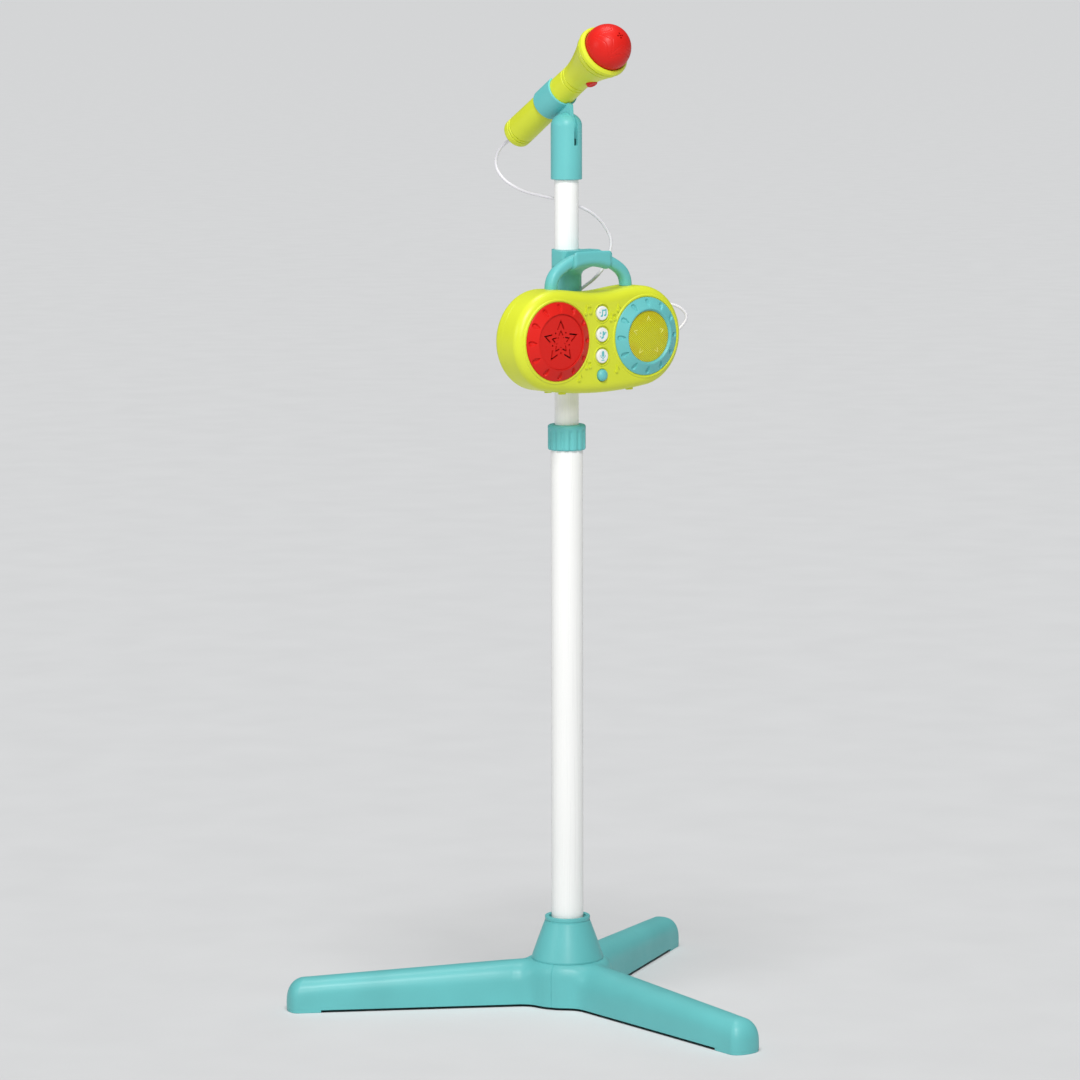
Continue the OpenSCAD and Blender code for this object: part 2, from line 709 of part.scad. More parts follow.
module speaker_basket() {
    color(DARK) on_face(-dial_x, dial_z) rotate_extrude() polygon([
        [28, 52.2], [32, 52.2], [32, 50.6], [29, 50.6], [15, 45.2], [8, 45.2], [8, 46.8], [14.5, 46.8],
        [28, 51.4]
    ]);
}

module speaker_cone() {
    color("#55585C") on_face(-dial_x, dial_z) rotate_extrude() polygon([
        [0, 48.6], [7, 48.6], [26.4, 52.1], [27.6, 51.6], [27.6, 52.2], [26.2, 52.38], [7, 49.2], [0, 50]
    ]);
}

module speaker_magnet() {
    color(STEEL) on_face(-dial_x, dial_z) translate([0, 0, 37.8]) cylinder(r = 14, h = 7.3);
}

module light_lens() {
    rim = lens_r - 0.1;
    edge = dial_front - 2.4;
    color("#C8BE14") on_face(dial_x, dial_z) rotate_extrude() polygon([
        [0, edge - 1], [rim - 2, edge - 2], [rim - 2, dial_rear], [dial_hole_r - 2.7, dial_rear],
        [dial_hole_r - 2.7, face_out - 1.9], [rim, face_out - 1.9], [rim, edge], [16, edge + 0.9],
        [0, edge + 1.3]
    ]);
}

module light_reflector() {
    color(WHITE) on_face(dial_x, dial_z) rotate_extrude() polygon([
        [25, 52.2], [28, 52.2], [28, 51], [26, 51], [12, 41.2], [10.5, 41.2], [10.5, 42]
    ]);
}

module light_board() {
    color(BOARD) on_face(dial_x, dial_z) {
        translate([0, 0, 39.5]) cylinder(r = 15, h = 1.6);
        for (a = [0 : 120 : 240]) rotate([0, 0, a]) translate([5, 0, 41]) cylinder(r = 1.5, h = 4);
    }
}

// A push button with a retaining flange; its edge is rounded by dome outwards and rise forwards
module face_button(z, r, top, dome, rise) {
    on_face(0, z) rotate_extrude() polygon(concat(
        [[0, flange_d[0]], [r + 1.2, flange_d[0]], [r + 1.2, flange_d[1]], [r, flange_d[1]]],
        [for (a = [0 : 15 : 90]) [(r - dome) + dome * cos(a), top - rise + rise * sin(a)]],
        dome < r ? [[0, top]] : []
    ));
}

module song_button() { color(WHITE) face_button(key_z[0], key_r, key_top, 1.6, 0.8); }

module effect_button() { color(WHITE) face_button(key_z[1], key_r, key_top, 1.6, 0.8); }

module voice_button() { color(WHITE) face_button(key_z[2], key_r, key_top, 1.6, 0.8); }

module volume_button() { color(TEAL) face_button(vol_z, vol_r, face_out + 4.6, vol_r, 4); }

module key_pad() {
    base = flange_d[0] - 3.6;
    color("#8E9499") {
        translate([-12, -base - 1.2, vol_z - 7]) cube([24, 1.2, key_z[0] - vol_z + 15]);
        for (z = concat(key_z, [vol_z])) on_face(0, z) translate([0, 0, base + 1.1])
            cylinder(r = 3.2, h = 0.9);
    }
}

module main_board() {
    out = flange_d[0] - 5.3;
    color(BOARD) {
        translate([-17, -out - 1.6, box_z - 42]) cube([34, 1.6, 78]);
        translate([-6, -out - 0.01, box_z - 10]) cube([12, 2.4, 16]);
    }
}

module battery_door() {
    gap = 0.3;
    low = tray[0];
    high = tray[1];
    color(LIME) difference() {
        translate([low[0] + gap, -back_out - 2, box_z + low[1] + gap])
            cube([high[0] - low[0] - 2 * gap, 2, high[1] - low[1] - 2 * gap]);
        translate([(low[0] + high[0]) / 2, -back_out - 4, box_z + high[1] - 5]) rotate([-90, 0, 0])
            cylinder(r = 1.6, h = 10);
    }
}

module door_screw() {
    color(STEEL) translate([(tray[0][0] + tray[1][0]) / 2, -back_out, box_z + tray[1][1] - 5])
        rotate([90, 0, 0]) pan_screw(1.5, 2.8, 1.4, 3.5);
}

module batteries() {
    mid = (tray[0][0] + tray[1][0]) / 2;
    out = back_out + tray_depth - cell_r - 0.3;
    color("#5C6B7A") for (i = [-1 : 1])
        translate([mid, -out, box_z + i * cell_pitch - 1.2]) rotate([0, i * 180 + 90, 0]) {
            translate([0, 0, -cell_len / 2]) cylinder(r = cell_r, h = cell_len - 1);
            translate([0, 0, cell_len / 2 - 1.01]) cylinder(r = 2.7, h = 1);
        }
}

module battery_contacts() {
    out = back_out + tray_depth - cell_r - 0.3;
    color(STEEL) for (x = [tray[0][0] + 0.3, tray[1][0] - 0.9], i = [-1 : 1])
        translate([x, -out - 5, box_z + i * cell_pitch - 6.2]) cube([0.6, 10, 10]);
}

module box_screws() {
    color(STEEL) for (p = box_post) on_face(p[0], box_z + p[1]) translate([0, 0, back_out + 3.6])
        pan_screw(screw_r, 2.9, 1.8, 14);
}

module box_feet() {
    low = foot_top(38) - 1.4;
    color(LIME) for (x = [-42, 42], y = [-46, -24]) translate([0, y + 2.5, box_z])
        rotate([90, 0, 0]) linear_extrude(height = 5) polygon([
            [x - 4, low], [x + 4, low], [x + 4, foot_top(x + 4)], [x - 4, foot_top(x - 4)]
        ]);
}

// Height of the box's underside at x, less a hair, measured from its middle
function foot_top(x) = belly_r - box_low - sqrt(belly_r * belly_r - x * x) - 0.02;

module handle() {
    side_x = arch_x - arch_bend;
    lean = asin(side_x / (crown_r - arch_bend));
    side_z = arch_mid + (crown_r - arch_bend) * cos(lean);
    slim_r = bar_r - 0.04;              // the straight legs and the crown end inside the shoulders
    crown_a = lean + 0.9;
    color(TEAL) translate([0, -bar_out, 0]) {
        for (side = [-1, 1]) {
            translate([side * arch_x, 0, arch_foot]) cylinder(r = slim_r, h = side_z - arch_foot + 1);
            translate([side * arch_x, 0, arch_foot - 6]) cylinder(r = 3, h = 7);
        }
        translate([side_x, 0, side_z]) rotate([90, 0, 0]) rotate_extrude(angle = 90 - lean)
            translate([arch_bend, 0]) circle(r = bar_r);
        translate([0, 0, arch_mid]) rotate([90, 0, 0]) rotate([0, 0, 90 - crown_a])
            rotate_extrude(angle = 2 * crown_a) translate([crown_r, 0]) circle(r = slim_r);
        translate([-side_x, 0, side_z]) rotate([90, 0, 0]) rotate([0, 0, 90 + lean])
            rotate_extrude(angle = 90 - lean) translate([arch_bend, 0]) circle(r = bar_r);
    }
}

// A round block across the handle, centred on the middle of its crown's circle
module crown_block(r, out) {
    translate([0, -out, arch_mid]) rotate([90, 0, 0]) cylinder(r = r, h = 60, center = true, $fn = 128);
}

module bracket() {
    gap = 0.4;
    front = bar_out + bar_r + gap + hook_wall;
    rear = bar_out - bar_r - gap - hook_wall;
    top = sleeve_z[1];
    floor_r = crown_r - bar_r - gap;
    flare = [[14.2, -31], [14.8, -26], [16.6, -21], [20.6, -17.3], [hook_w, -15.5]];
    side = [[-8, 0], [-rear - 1, 0], [-rear - 1, -15.5], [-21.5, -18], [-17, -22.5], [-14.4, -30], [-8, -32]];
    color(TEAL) difference() {
        union() {
            translate([0, 0, sleeve_z[0]]) cylinder(r = sleeve_r, h = top - sleeve_z[0]);
            intersection() {
                translate([0, -8, top]) rotate([90, 0, 0]) linear_extrude(height = rear - 7)
                    polygon(concat(flare, [[hook_w, 0], [-hook_w, 0]], [for (p = reversed(flare)) [-p[0], p[1]]]));
                translate([-hook_w - over, 0, top]) rotate([90, 0, 90])
                    linear_extrude(height = 2 * hook_w + 2 * over) polygon(side);
            }
            difference() {
                translate([-hook_w, -front, arch_mid]) cube([2 * hook_w, front - rear, top - arch_mid]);
                crown_block(floor_r - hook_wall, bar_out);
            }
            translate([0, 11, 664]) rotate([-90, 0, 0]) cylinder(r = 5, h = 8);
        }
        translate([0, 0, sleeve_z[0] - over]) cylinder(r = up_r + 0.04, h = top - sleeve_z[0] + 2 * over);
        difference() {
            translate([-hook_w - over, -bar_out - bar_r - gap, arch_mid])
                cube([2 * hook_w + 2 * over, 2 * (bar_r + gap), 90]);
            crown_block(floor_r, bar_out);
        }
        translate([0, 5, 664]) rotate([-90, 0, 0]) cylinder(r = 1.95, h = 20);
    }
}

module bracket_screw() {
    color(STEEL) translate([0, 19, 664]) rotate([90, 0, 0]) pan_screw(1.9, 3.8, 2.4, 6.8);
}

module cord_gland() {
    color(WHITE) translate([0, gland_at[0], gland_at[1]]) rotate([0, 90, 0]) rotate_extrude()
        polygon([
            [0, box_w - 5.4], [4, box_w - 5.4], [4, box_w - 3.7], [3.2, box_w - 3.7],
            [3.2, box_w + 3], [2.2, gland_x], [0, gland_x]
        ]);
}

// ---------------------------------------------------------------- cord

// A point on the smooth line through p1 and p2
function between(p0, p1, p2, p3, t) =
    0.5 * (2 * p1 + (p2 - p0) * t + (2 * p0 - 5 * p1 + 4 * p2 - p3) * t * t
        + (3 * p1 - p0 - 3 * p2 + p3) * t * t * t);

cord_last = len(cord_route) - 1;
cord_line = concat(
    [for (i = [0 : cord_last - 1], k = [0 : cord_steps - 1])
        between(cord_route[max(i - 1, 0)], cord_route[i], cord_route[i + 1],
            cord_route[min(i + 2, cord_last)], k / cord_steps)],
    [cord_route[cord_last]]
);

function unit(v) = v / norm(v);

function cord_dir(i) = unit(cord_line[min(i + 1, len(cord_line) - 1)] - cord_line[max(i - 1, 0)]);

// The side direction at each ring, carried along the line without twist
function carried(i, side) =
    let(d = cord_dir(i), s = unit(side - (side * d) * d))
    i == len(cord_line) - 1 ? [s] : concat([s], carried(i + 1, s));

module cord() {
    sides = carried(0, [1, 0, 0]);
    color(WHITE) loft([for (i = [0 : len(cord_line) - 1])
        let(s = sides[i], t = cross(cord_dir(i), s))
        [for (k = [0 : cord_sides - 1])
            let(a = -360 * k / cord_sides) cord_line[i] + cord_r * (cos(a) * s + sin(a) * t)]]);
}

leg_front();
leg_left();
leg_right();
base_plate();
base_cone();
base_screws();
lower_tube();
tube_foot_plug();
tube_screw();
clamp_collet();
lock_collar();
guide_bush();
upper_tube();
clip_mount();
pivot_screw();
bracket();
bracket_screw();
mic_clip();
mic_handle();
mic_bell();
mic_tail_cap();
mic_ball();
capsule_holder();
mic_capsule();
mic_board();
mic_button();
cord_relief();
box_front_shell();
box_rear_shell();
red_bezel();
star_grille();
speaker_basket();
speaker_cone();
speaker_magnet();
light_bezel();
light_lens();
light_reflector();
light_board();
song_button();
effect_button();
voice_button();
volume_button();
key_pad();
main_board();
battery_door();
door_screw();
batteries();
battery_contacts();
box_screws();
box_feet();
handle();
cord_gland();
cord();
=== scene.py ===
"""The toy microphone on its stand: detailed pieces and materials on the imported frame, in metres."""

from math import asin, cos, hypot, pi, radians, sin, sqrt, tan

import bmesh
import bpy
from mathutils import Matrix, Vector


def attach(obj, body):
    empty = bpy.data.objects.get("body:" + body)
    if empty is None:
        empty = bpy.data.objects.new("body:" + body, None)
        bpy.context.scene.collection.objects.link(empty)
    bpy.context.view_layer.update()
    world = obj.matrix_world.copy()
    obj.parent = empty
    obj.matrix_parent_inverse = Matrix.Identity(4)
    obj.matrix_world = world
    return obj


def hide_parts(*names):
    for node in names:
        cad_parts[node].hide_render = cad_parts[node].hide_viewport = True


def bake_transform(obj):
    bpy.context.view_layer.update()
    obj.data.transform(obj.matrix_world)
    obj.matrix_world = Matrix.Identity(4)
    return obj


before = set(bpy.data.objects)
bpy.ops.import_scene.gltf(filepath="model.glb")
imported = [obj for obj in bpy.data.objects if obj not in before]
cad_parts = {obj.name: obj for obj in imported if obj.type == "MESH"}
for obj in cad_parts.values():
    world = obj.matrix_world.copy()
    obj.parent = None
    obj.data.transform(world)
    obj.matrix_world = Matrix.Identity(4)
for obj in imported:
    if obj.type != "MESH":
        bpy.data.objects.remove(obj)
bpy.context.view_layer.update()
MM = 0.001
HERE = Matrix()


def at(x=0, y=0, z=0):
    return Matrix.Translation((x, y, z))


def turned(degrees, axis):
    return Matrix.Rotation(radians(degrees), 4, axis)


def arc(x, y, rx, ry, degrees):
    """Points of an oval round (x, y) at the given angles."""
    return [(x + rx * cos(radians(a)), y + ry * sin(radians(a))) for a in degrees]


# ------ mesh helpers, in millimetres

def build(name, points, faces, place=HERE):
    """A mesh object from points in millimetres; doubles are welded and the faces turned outwards."""
    mesh = bpy.data.meshes.new(name)
    mesh.from_pydata([(place @ Vector(p)) * MM for p in points], [], faces)
    obj = bpy.data.objects.new(name, mesh)
    bpy.context.scene.collection.objects.link(obj)
    work = bmesh.new()
    work.from_mesh(mesh)
    bmesh.ops.remove_doubles(work, verts=work.verts, dist=1e-7)
    bmesh.ops.recalc_face_normals(work, faces=work.faces)
    work.to_mesh(mesh)
    work.free()
    return obj


def skin(rings, wrap=False):
    """Points and faces of a skin through closed rings of equal length, capped unless it wraps round."""
    n, m = len(rings[0]), len(rings)
    faces = []
    for i in range(m if wrap else m - 1):
        a, b = i * n, (i + 1) % m * n
        faces += [(a + j, b + j, b + (j + 1) % n, a + (j + 1) % n) for j in range(n)]
    if not wrap:
        faces += [tuple(range(n)), tuple(range((m - 1) * n, m * n))]
    return [p for ring in rings for p in ring], faces


def loft(name, rings, place=HERE, wrap=False):
    return build(name, *skin(rings, wrap), place)


def circle(r, z, steps):
    turns = [2 * pi * k / steps for k in range(steps)]
    return [(r * cos(a), r * sin(a), z) for a in turns]


def spin(name, profile, place=HERE, steps=96):
    """A solid of revolution about local Z from a closed profile of (radius, height)."""
    return loft(name, [circle(max(r, 0), z, steps) for r, z in profile], place, wrap=True)


def soft(corners, steps=4):
    """A closed 2-D outline; a corner given as (x, y, radius) is rounded."""
    out = []
    for i, corner in enumerate(corners):
        p = Vector(corner[:2])
        if len(corner) < 3:
            out.append((p.x, p.y))
            continue
        a = Vector(corners[i - 1][:2]) - p
        b = Vector(corners[(i + 1) % len(corners)][:2]) - p
        half = a.angle(b) / 2
        reach = min(corner[2] / tan(half), a.length * 0.49, b.length * 0.49)
        centre = (a.normalized() + b.normalized()).normalized() * (reach / cos(half))
        start, end = a.normalized() * reach - centre, b.normalized() * reach - centre
        turn = pi - 2 * half
        for k in range(steps + 1):
            t = k / steps
            v = (start * sin((1 - t) * turn) + end * sin(t * turn)) / sin(turn)
            out.append(tuple(p + centre + v))
    return out


def smooth_line(points, steps):
    """Points on the smooth curve through the given points, which may have any number of values."""
    pts = [Vector(p) for p in points]
    out = []
    for i in range(len(pts) - 1):
        p0, p1, p2, p3 = pts[max(i - 1, 0)], pts[i], pts[i + 1], pts[min(i + 2, len(pts) - 1)]
        for k in range(steps):
            t = k / steps
            out.append(0.5 * (2 * p1 + (p2 - p0) * t + (2 * p0 - 5 * p1 + 4 * p2 - p3) * t * t
                              + (3 * p1 - p0 - 3 * p2 + p3) * t ** 3))
    return out + [pts[-1]]


def prism(name, outline, low, high, place=HERE, edge=0.0):
    """A 2-D outline pushed from low to high along local Z, its top edge eased by edge."""
    rings = [(0, low), (0, high - edge), (edge, high)] if edge else [(0, low), (0, high)]
    return loft(name, [[(x, y, z) for x, y in shrink(outline, d)] for d, z in rings], place)


def shrink(outline, d):
    """The outline moved inwards by d."""
    if not d:
        return outline
    n = len(outline)
    area = sum(outline[i - 1][0] * outline[i][1] - outline[i][0] * outline[i - 1][1] for i in range(n))
    turn = 1 if area > 0 else -1
    out = []
    for i in range(n):
        p = Vector(outline[i])
        a, b = p - Vector(outline[i - 1]), Vector(outline[(i + 1) % n]) - p
        na, nb = Vector((-a.y, a.x)).normalized(), Vector((-b.y, b.x)).normalized()
        m = na + nb
        m = m.normalized() if m.length > 1e-6 else na
        out.append(tuple(p + m * (turn * d / max(m.dot(na), 0.5))))
    return out


def stroke(line, width, steps=6):
    """The outline of a thick line through 2-D points, with round ends."""
    pts = [Vector(p) for p in line]
    left, right = [], []
    for i, p in enumerate(pts):
        a = (p - pts[i - 1]).normalized() if i else (pts[1] - p).normalized()
        b = (pts[i + 1] - p).normalized() if i < len(pts) - 1 else a
        n = (Vector((-a.y, a.x)) + Vector((-b.y, b.x))).normalized()
        reach = width / 2 / max(n.dot(Vector((-a.y, a.x))), 0.35)
        left.append(p + n * reach)
        right.append(p - n * reach)

    def cap(p, edge):
        v = edge - p
        return [p + Matrix.Rotation(-pi * k / steps, 2) @ v for k in range(1, steps)]

    out = left + cap(pts[-1], left[-1]) + right[::-1] + cap(pts[0], right[0])
    return [tuple(v) for v in out]


def applied(obj):
    """Makes the object's modifiers part of its mesh."""
    graph = bpy.context.evaluated_depsgraph_get()
    mesh = bpy.data.meshes.new_from_object(obj.evaluated_get(graph))
    old = obj.data
    obj.modifiers.clear()
    obj.data = mesh
    bpy.data.meshes.remove(old)
    return obj


def merge(objs):
    """One object that holds several meshes."""
    work = bmesh.new()
    for o in objs:
        work.from_mesh(o.data)
    work.to_mesh(objs[0].data)
    work.free()
    for o in objs[1:]:
        bpy.data.objects.remove(o)
    return objs[0]


def combine(obj, others, how="DIFFERENCE"):
    """Cuts the others out of obj, or adds them to it with UNION."""
    for other in others:
        mod = obj.modifiers.new("cut", "BOOLEAN")
        mod.object, mod.operation, mod.solver = other, how, "EXACT"
        applied(obj)
        bpy.data.objects.remove(other)
    return obj


def eased(obj, width, angle=40, segments=2):
    """Rounds the object's sharp edges."""
    mod = obj.modifiers.new("edge", "BEVEL")
    mod.width, mod.segments, mod.limit_method = width * MM, segments, "ANGLE"
    mod.angle_limit, mod.miter_outer = radians(angle), "MITER_ARC"
    return applied(obj)


def piece(obj, body, look, slot, *nodes, angle=35):
    """Finishes a piece: shading, material, the body it rides on and the nodes it stands for."""
    obj.data.materials.clear()
    obj.data.materials.append(look)
    for face in obj.data.polygons:
        face.use_smooth = True
    obj.data.set_sharp_from_angle(angle=radians(angle))
    mod = obj.modifiers.new("normals", "WEIGHTED_NORMAL")
    mod.keep_sharp = True
    applied(obj)
    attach(obj, body)
    if nodes:
        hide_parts(*nodes)
    return obj


# ------ materials

class Look:
    """A small builder for one procedural material."""

    def __init__(self, name):
        self.material = bpy.data.materials.new(name)
        self.material.use_nodes = True
        self.tree = self.material.node_tree
        self.tree.nodes.clear()
        self.out = self.add("ShaderNodeOutputMaterial")
        self.shader = self.add("ShaderNodeBsdfPrincipled")
        self.tree.links.new(self.shader.outputs[0], self.out.inputs[0])
        self.place = self.add("ShaderNodeTexCoord").outputs["Object"]

    def add(self, kind, inputs=None, **props):
        node = self.tree.nodes.new(kind)
        for key, value in props.items():
            setattr(node, key, value)
        for key, value in (inputs or {}).items():
            self.put(node.inputs[key], value)
        return node

    def put(self, socket, value):
        if isinstance(value, bpy.types.NodeSocket):
            self.tree.links.new(value, socket)
        else:
            socket.default_value = value

    def set(self, **values):
        for key, value in values.items():
            self.put(self.shader.inputs[key.replace("_", " ")], value)

    def noise(self, scale, detail=3.0, rough=0.5, place=None):
        inputs = {"Vector": place or self.place, "Scale": scale, "Detail": detail, "Roughness": rough}
        return self.add("ShaderNodeTexNoise", inputs).outputs["Fac"]

    def stretch(self, scale, turn=(0, 0, 0)):
        inputs = {"Vector": self.place, "Scale": scale, "Rotation": turn}
        return self.add("ShaderNodeMapping", inputs).outputs[0]

    def span(self, fac, low, high, to_low=0.0, to_high=1.0):
        inputs = {"Value": fac, "From Min": low, "From Max": high, "To Min": to_low, "To Max": to_high}
        return self.add("ShaderNodeMapRange", inputs).outputs[0]

    def mix(self, fac, a, b):
        node = self.add("ShaderNodeMix", data_type="RGBA")
        self.put(node.inputs["Factor"], fac)
        self.put(node.inputs[6], a)
        self.put(node.inputs[7], b)
        return node.outputs[2]

    def math(self, how, a, b):
        node = self.add("ShaderNodeMath", operation=how)
        self.put(node.inputs[0], a)
        self.put(node.inputs[1], b)
        return node.outputs[0]

    def bump(self, height, strength, distance, normal=None):
        node = self.add("ShaderNodeBump", {"Height": height, "Strength": strength, "Distance": distance})
        if normal:
            self.put(node.inputs["Normal"], normal)
        return node.outputs[0]


def rgb(r, g, b):
    """A display colour of 0 to 255 as a linear one."""
    parts = [c / 255 for c in (r, g, b)]
    return tuple(((c + 0.055) / 1.055) ** 2.4 if c > 0.04 else c / 12.92 for c in parts) + (1.0,)


def tint(colour, k):
    return tuple(min(1, c * k) for c in colour[:3]) + (1.0,)


def moulded(name, colour, rough=0.36, coat=0.12, grain=0.10, drift=0.05, shine=0.5):
    """Injection-moulded plastic: slow tone drift, a fine satin grain and faint handling marks."""
    k = Look(name)
    drift_fac = k.span(k.noise(14.0, 2.0), 0.3, 0.7)
    tone = k.mix(drift_fac, tint(colour, 1 - drift), tint(colour, 1 + drift))
    specks = k.span(k.noise(900.0, 1.0), 0.62, 0.8)
    tone = k.mix(k.math("MULTIPLY", specks, 0.18), tone, tint(colour, 0.82))
    marks = k.span(k.noise(160.0, 4.0, 0.6, k.stretch((1, 0.06, 1), (0.4, 0.7, 0.2))), 0.6, 0.7)
    satin = k.span(k.noise(60.0, 3.0), 0.25, 0.75, rough - 0.05, rough + 0.06)
    k.set(Base_Color=tone, Roughness=k.math("ADD", satin, k.math("MULTIPLY", marks, 0.07)),
          Coat_Weight=coat, Coat_Roughness=0.22, IOR=1.5, Specular_IOR_Level=shine,
          Normal=k.bump(k.noise(2600.0, 2.0), grain, 0.00006, k.bump(k.noise(24.0, 1.0), 0.10, 0.0003)))
    return k.material


def metal(name, colour, rough):
    """Plated steel with drawn lines and small dull patches."""
    k = Look(name)
    lines = k.noise(1400.0, 2.0, 0.5, k.stretch((1, 1, 0.05)))
    tone = k.mix(k.span(k.noise(220.0, 3.0), 0.35, 0.7), colour, tint(colour, 0.8))
    k.set(Base_Color=tone, Metallic=1.0, Roughness=k.span(lines, 0.3, 0.7, rough - 0.08, rough + 0.1),
          Normal=k.bump(lines, 0.15, 0.00003))
    return k.material


def board(name, colour):
    """A circuit board: dull lacquer over faint copper tracks."""
    k = Look(name)
    inputs = {"Vector": k.stretch((1, 1, 1), (pi / 2, 0, 0)), "Scale": 260.0, "Mortar Size": 0.02,
              "Color1": colour, "Color2": tint(colour, 1.25), "Mortar": tint(colour, 2.2)}
    tracks = k.add("ShaderNodeTexBrick", inputs).outputs["Color"]
    k.set(Base_Color=k.mix(k.span(k.noise(90.0), 0.4, 0.7), tracks, tint(colour, 0.8)),
          Roughness=k.span(k.noise(300.0), 0.3, 0.7, 0.32, 0.5))
    return k.material


def fibre(name, colour, streak):
    """Pressed paper or a printed sleeve, with short fibres."""
    k = Look(name)
    hairs = k.noise(700.0, 4.0, 0.6, k.stretch((1, 0.25, 1), (0.2, 0.5, 0.9)))
    k.set(Base_Color=k.mix(k.span(hairs, 0.4, 0.7), colour, streak),
          Roughness=k.span(hairs, 0.3, 0.7, 0.5, 0.8), Normal=k.bump(hairs, 0.3, 0.0001))
    return k.material


def tube_look(name, colour):
    """White lacquered tube: glossy, with a very slow waviness and fine lengthwise marks."""
    k = Look(name)
    lines = k.noise(420.0, 3.0, 0.5, k.stretch((1, 1, 0.02)))
    tone = k.mix(k.span(k.noise(9.0, 2.0), 0.3, 0.7), tint(colour, 0.97), colour)
    k.set(Base_Color=tone, Roughness=k.span(lines, 0.3, 0.7, 0.24, 0.34), Coat_Weight=0.35,
          Coat_Roughness=0.08, IOR=1.5,
          Normal=k.bump(k.noise(30.0, 1.0), 0.06, 0.0003, k.bump(lines, 0.05, 0.00004)))
    return k.material


def lens_look(name, glow, dark, warm):
    """The lit window: a clear yellow-green skin over a diamond mesh, warmer towards its edge. The mesh's
    relief is a real bump, but its bright and dark colours are painted highlight and painted shade on the
    facets.
    """
    k = Look(name)
    waves = []
    for turn in (radians(51), radians(-51)):
        inputs = {"Vector": k.stretch((1, 1, 1), (0, turn, 0)), "Scale": 192.0, "Distortion": 0.0}
        wave = k.add("ShaderNodeTexWave", inputs, bands_direction="X", wave_profile="SIN")
        waves.append(wave.outputs["Fac"])
    # the diamond mesh mask: real relief for the bump, and also where the painted highlight and painted shade
    # fall in the colour
    web = k.math("MULTIPLY", k.span(waves[0], 0.15, 0.85), k.span(waves[1], 0.15, 0.85))
    centre = k.add("ShaderNodeVectorMath", {0: k.place, 1: (0.054, -0.061, 0.671)}, operation="DISTANCE")
    rim = k.span(centre.outputs["Value"], 0.012, 0.026, 0.0, 0.5)
    patch = k.math("MULTIPLY", rim, k.span(k.noise(70.0, 2.0), 0.35, 0.65))
    # the mesh's bright colour (glow) is a painted highlight and its dark colour a painted shade; the warm
    # pair towards the edge is painted the same way
    tone = k.mix(patch, k.mix(web, dark, glow), k.mix(web, tint(warm, 0.55), warm))
    k.set(Base_Color=tone, Roughness=k.span(k.noise(80.0), 0.3, 0.7, 0.24, 0.36), Coat_Weight=0.15,
          Coat_Roughness=0.12, IOR=1.45, Normal=k.bump(web, 0.4, 0.0003))
    return k.material


TEAL_RGB, LIME_RGB, RED_RGB = rgb(103, 191, 192), rgb(214, 223, 50), rgb(214, 34, 27)
teal = moulded("teal_plastic", TEAL_RGB, 0.47, 0.08, shine=0.42)
lime = moulded("lime_plastic", LIME_RGB, 0.38, 0.08, shine=0.36)
red = moulded("red_plastic", RED_RGB, 0.40, 0.06, shine=0.16)
white = moulded("white_plastic", rgb(240, 240, 238), 0.34, 0.12, drift=0.02)
dark = moulded("dark_plastic", rgb(58, 61, 66), 0.5, 0.0, grain=0.2)
grey = moulded("soft_grey", rgb(142, 148, 153), 0.6, 0.0, grain=0.25)
cord_look = moulded("cord_white", rgb(226, 224, 229), 0.42, 0.05, drift=0.02)
tube = tube_look("tube_white", rgb(250, 250, 248))
steel = metal("steel", rgb(190, 194, 199), 0.3)
green = board("board_green", rgb(40, 118, 76))
paper = fibre("paper_grey", rgb(88, 90, 94), rgb(120, 122, 126))
sleeve = fibre("cell_sleeve", rgb(82, 96, 112), rgb(104, 118, 132))
# lens colours: a painted highlight (glow) and a painted shade (dark) for the diamond mesh, then the warmer
# edge tint
amber = lens_look("lens_amber", rgb(248, 250, 44), rgb(172, 172, 6), rgb(236, 190, 16))
glow = moulded("lens_lines", rgb(236, 236, 120), 0.3, 0.1, 0.05, 0.06)

CARRIED = {
    "base_plate": dark, "base_screws": steel, "tube_foot_plug": dark, "tube_screw": steel,
    "clamp_collet": white, "guide_bush": white, "capsule_holder": dark, "mic_capsule": steel,
    "mic_board": green,
    "speaker_basket": dark, "speaker_cone": paper, "speaker_magnet": steel, "light_reflector": white,
    "light_board": green, "key_pad": grey, "main_board": green, "batteries": sleeve,
    "battery_contacts": steel,
}
for node, look in CARRIED.items():
    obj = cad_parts[node]
    for part in obj.material_slots:
        part.material = look


# ------ camera

CAMERA_SPOT = (-2.6647, -3.3944, 1.0201)


def aim_camera():
    """The camera, level apart from a slight roll, looking down at the stand from its left."""
    turn, pitch, roll = radians(-37.778), radians(7.3), radians(-0.126)
    forward = Vector((-sin(turn) * cos(pitch), cos(turn) * cos(pitch), -sin(pitch)))
    side = Vector((cos(turn), sin(turn), 0))
    up = side.cross(forward)
    right = side * cos(roll) + up * sin(roll)
    up = up * cos(roll) - side * sin(roll)
    data = bpy.data.cameras.new("camera")
    data.lens, data.sensor_width = 146.07, 36
    data.clip_end = 2000
    camera = bpy.data.objects.new("camera", data)
    bpy.context.scene.collection.objects.link(camera)
    rows = list(zip(right, up, -forward, CAMERA_SPOT))
    camera.matrix_world = Matrix(rows + [(0, 0, 0, 1)])
    bpy.context.scene.camera = camera


aim_camera()

# ------ cord

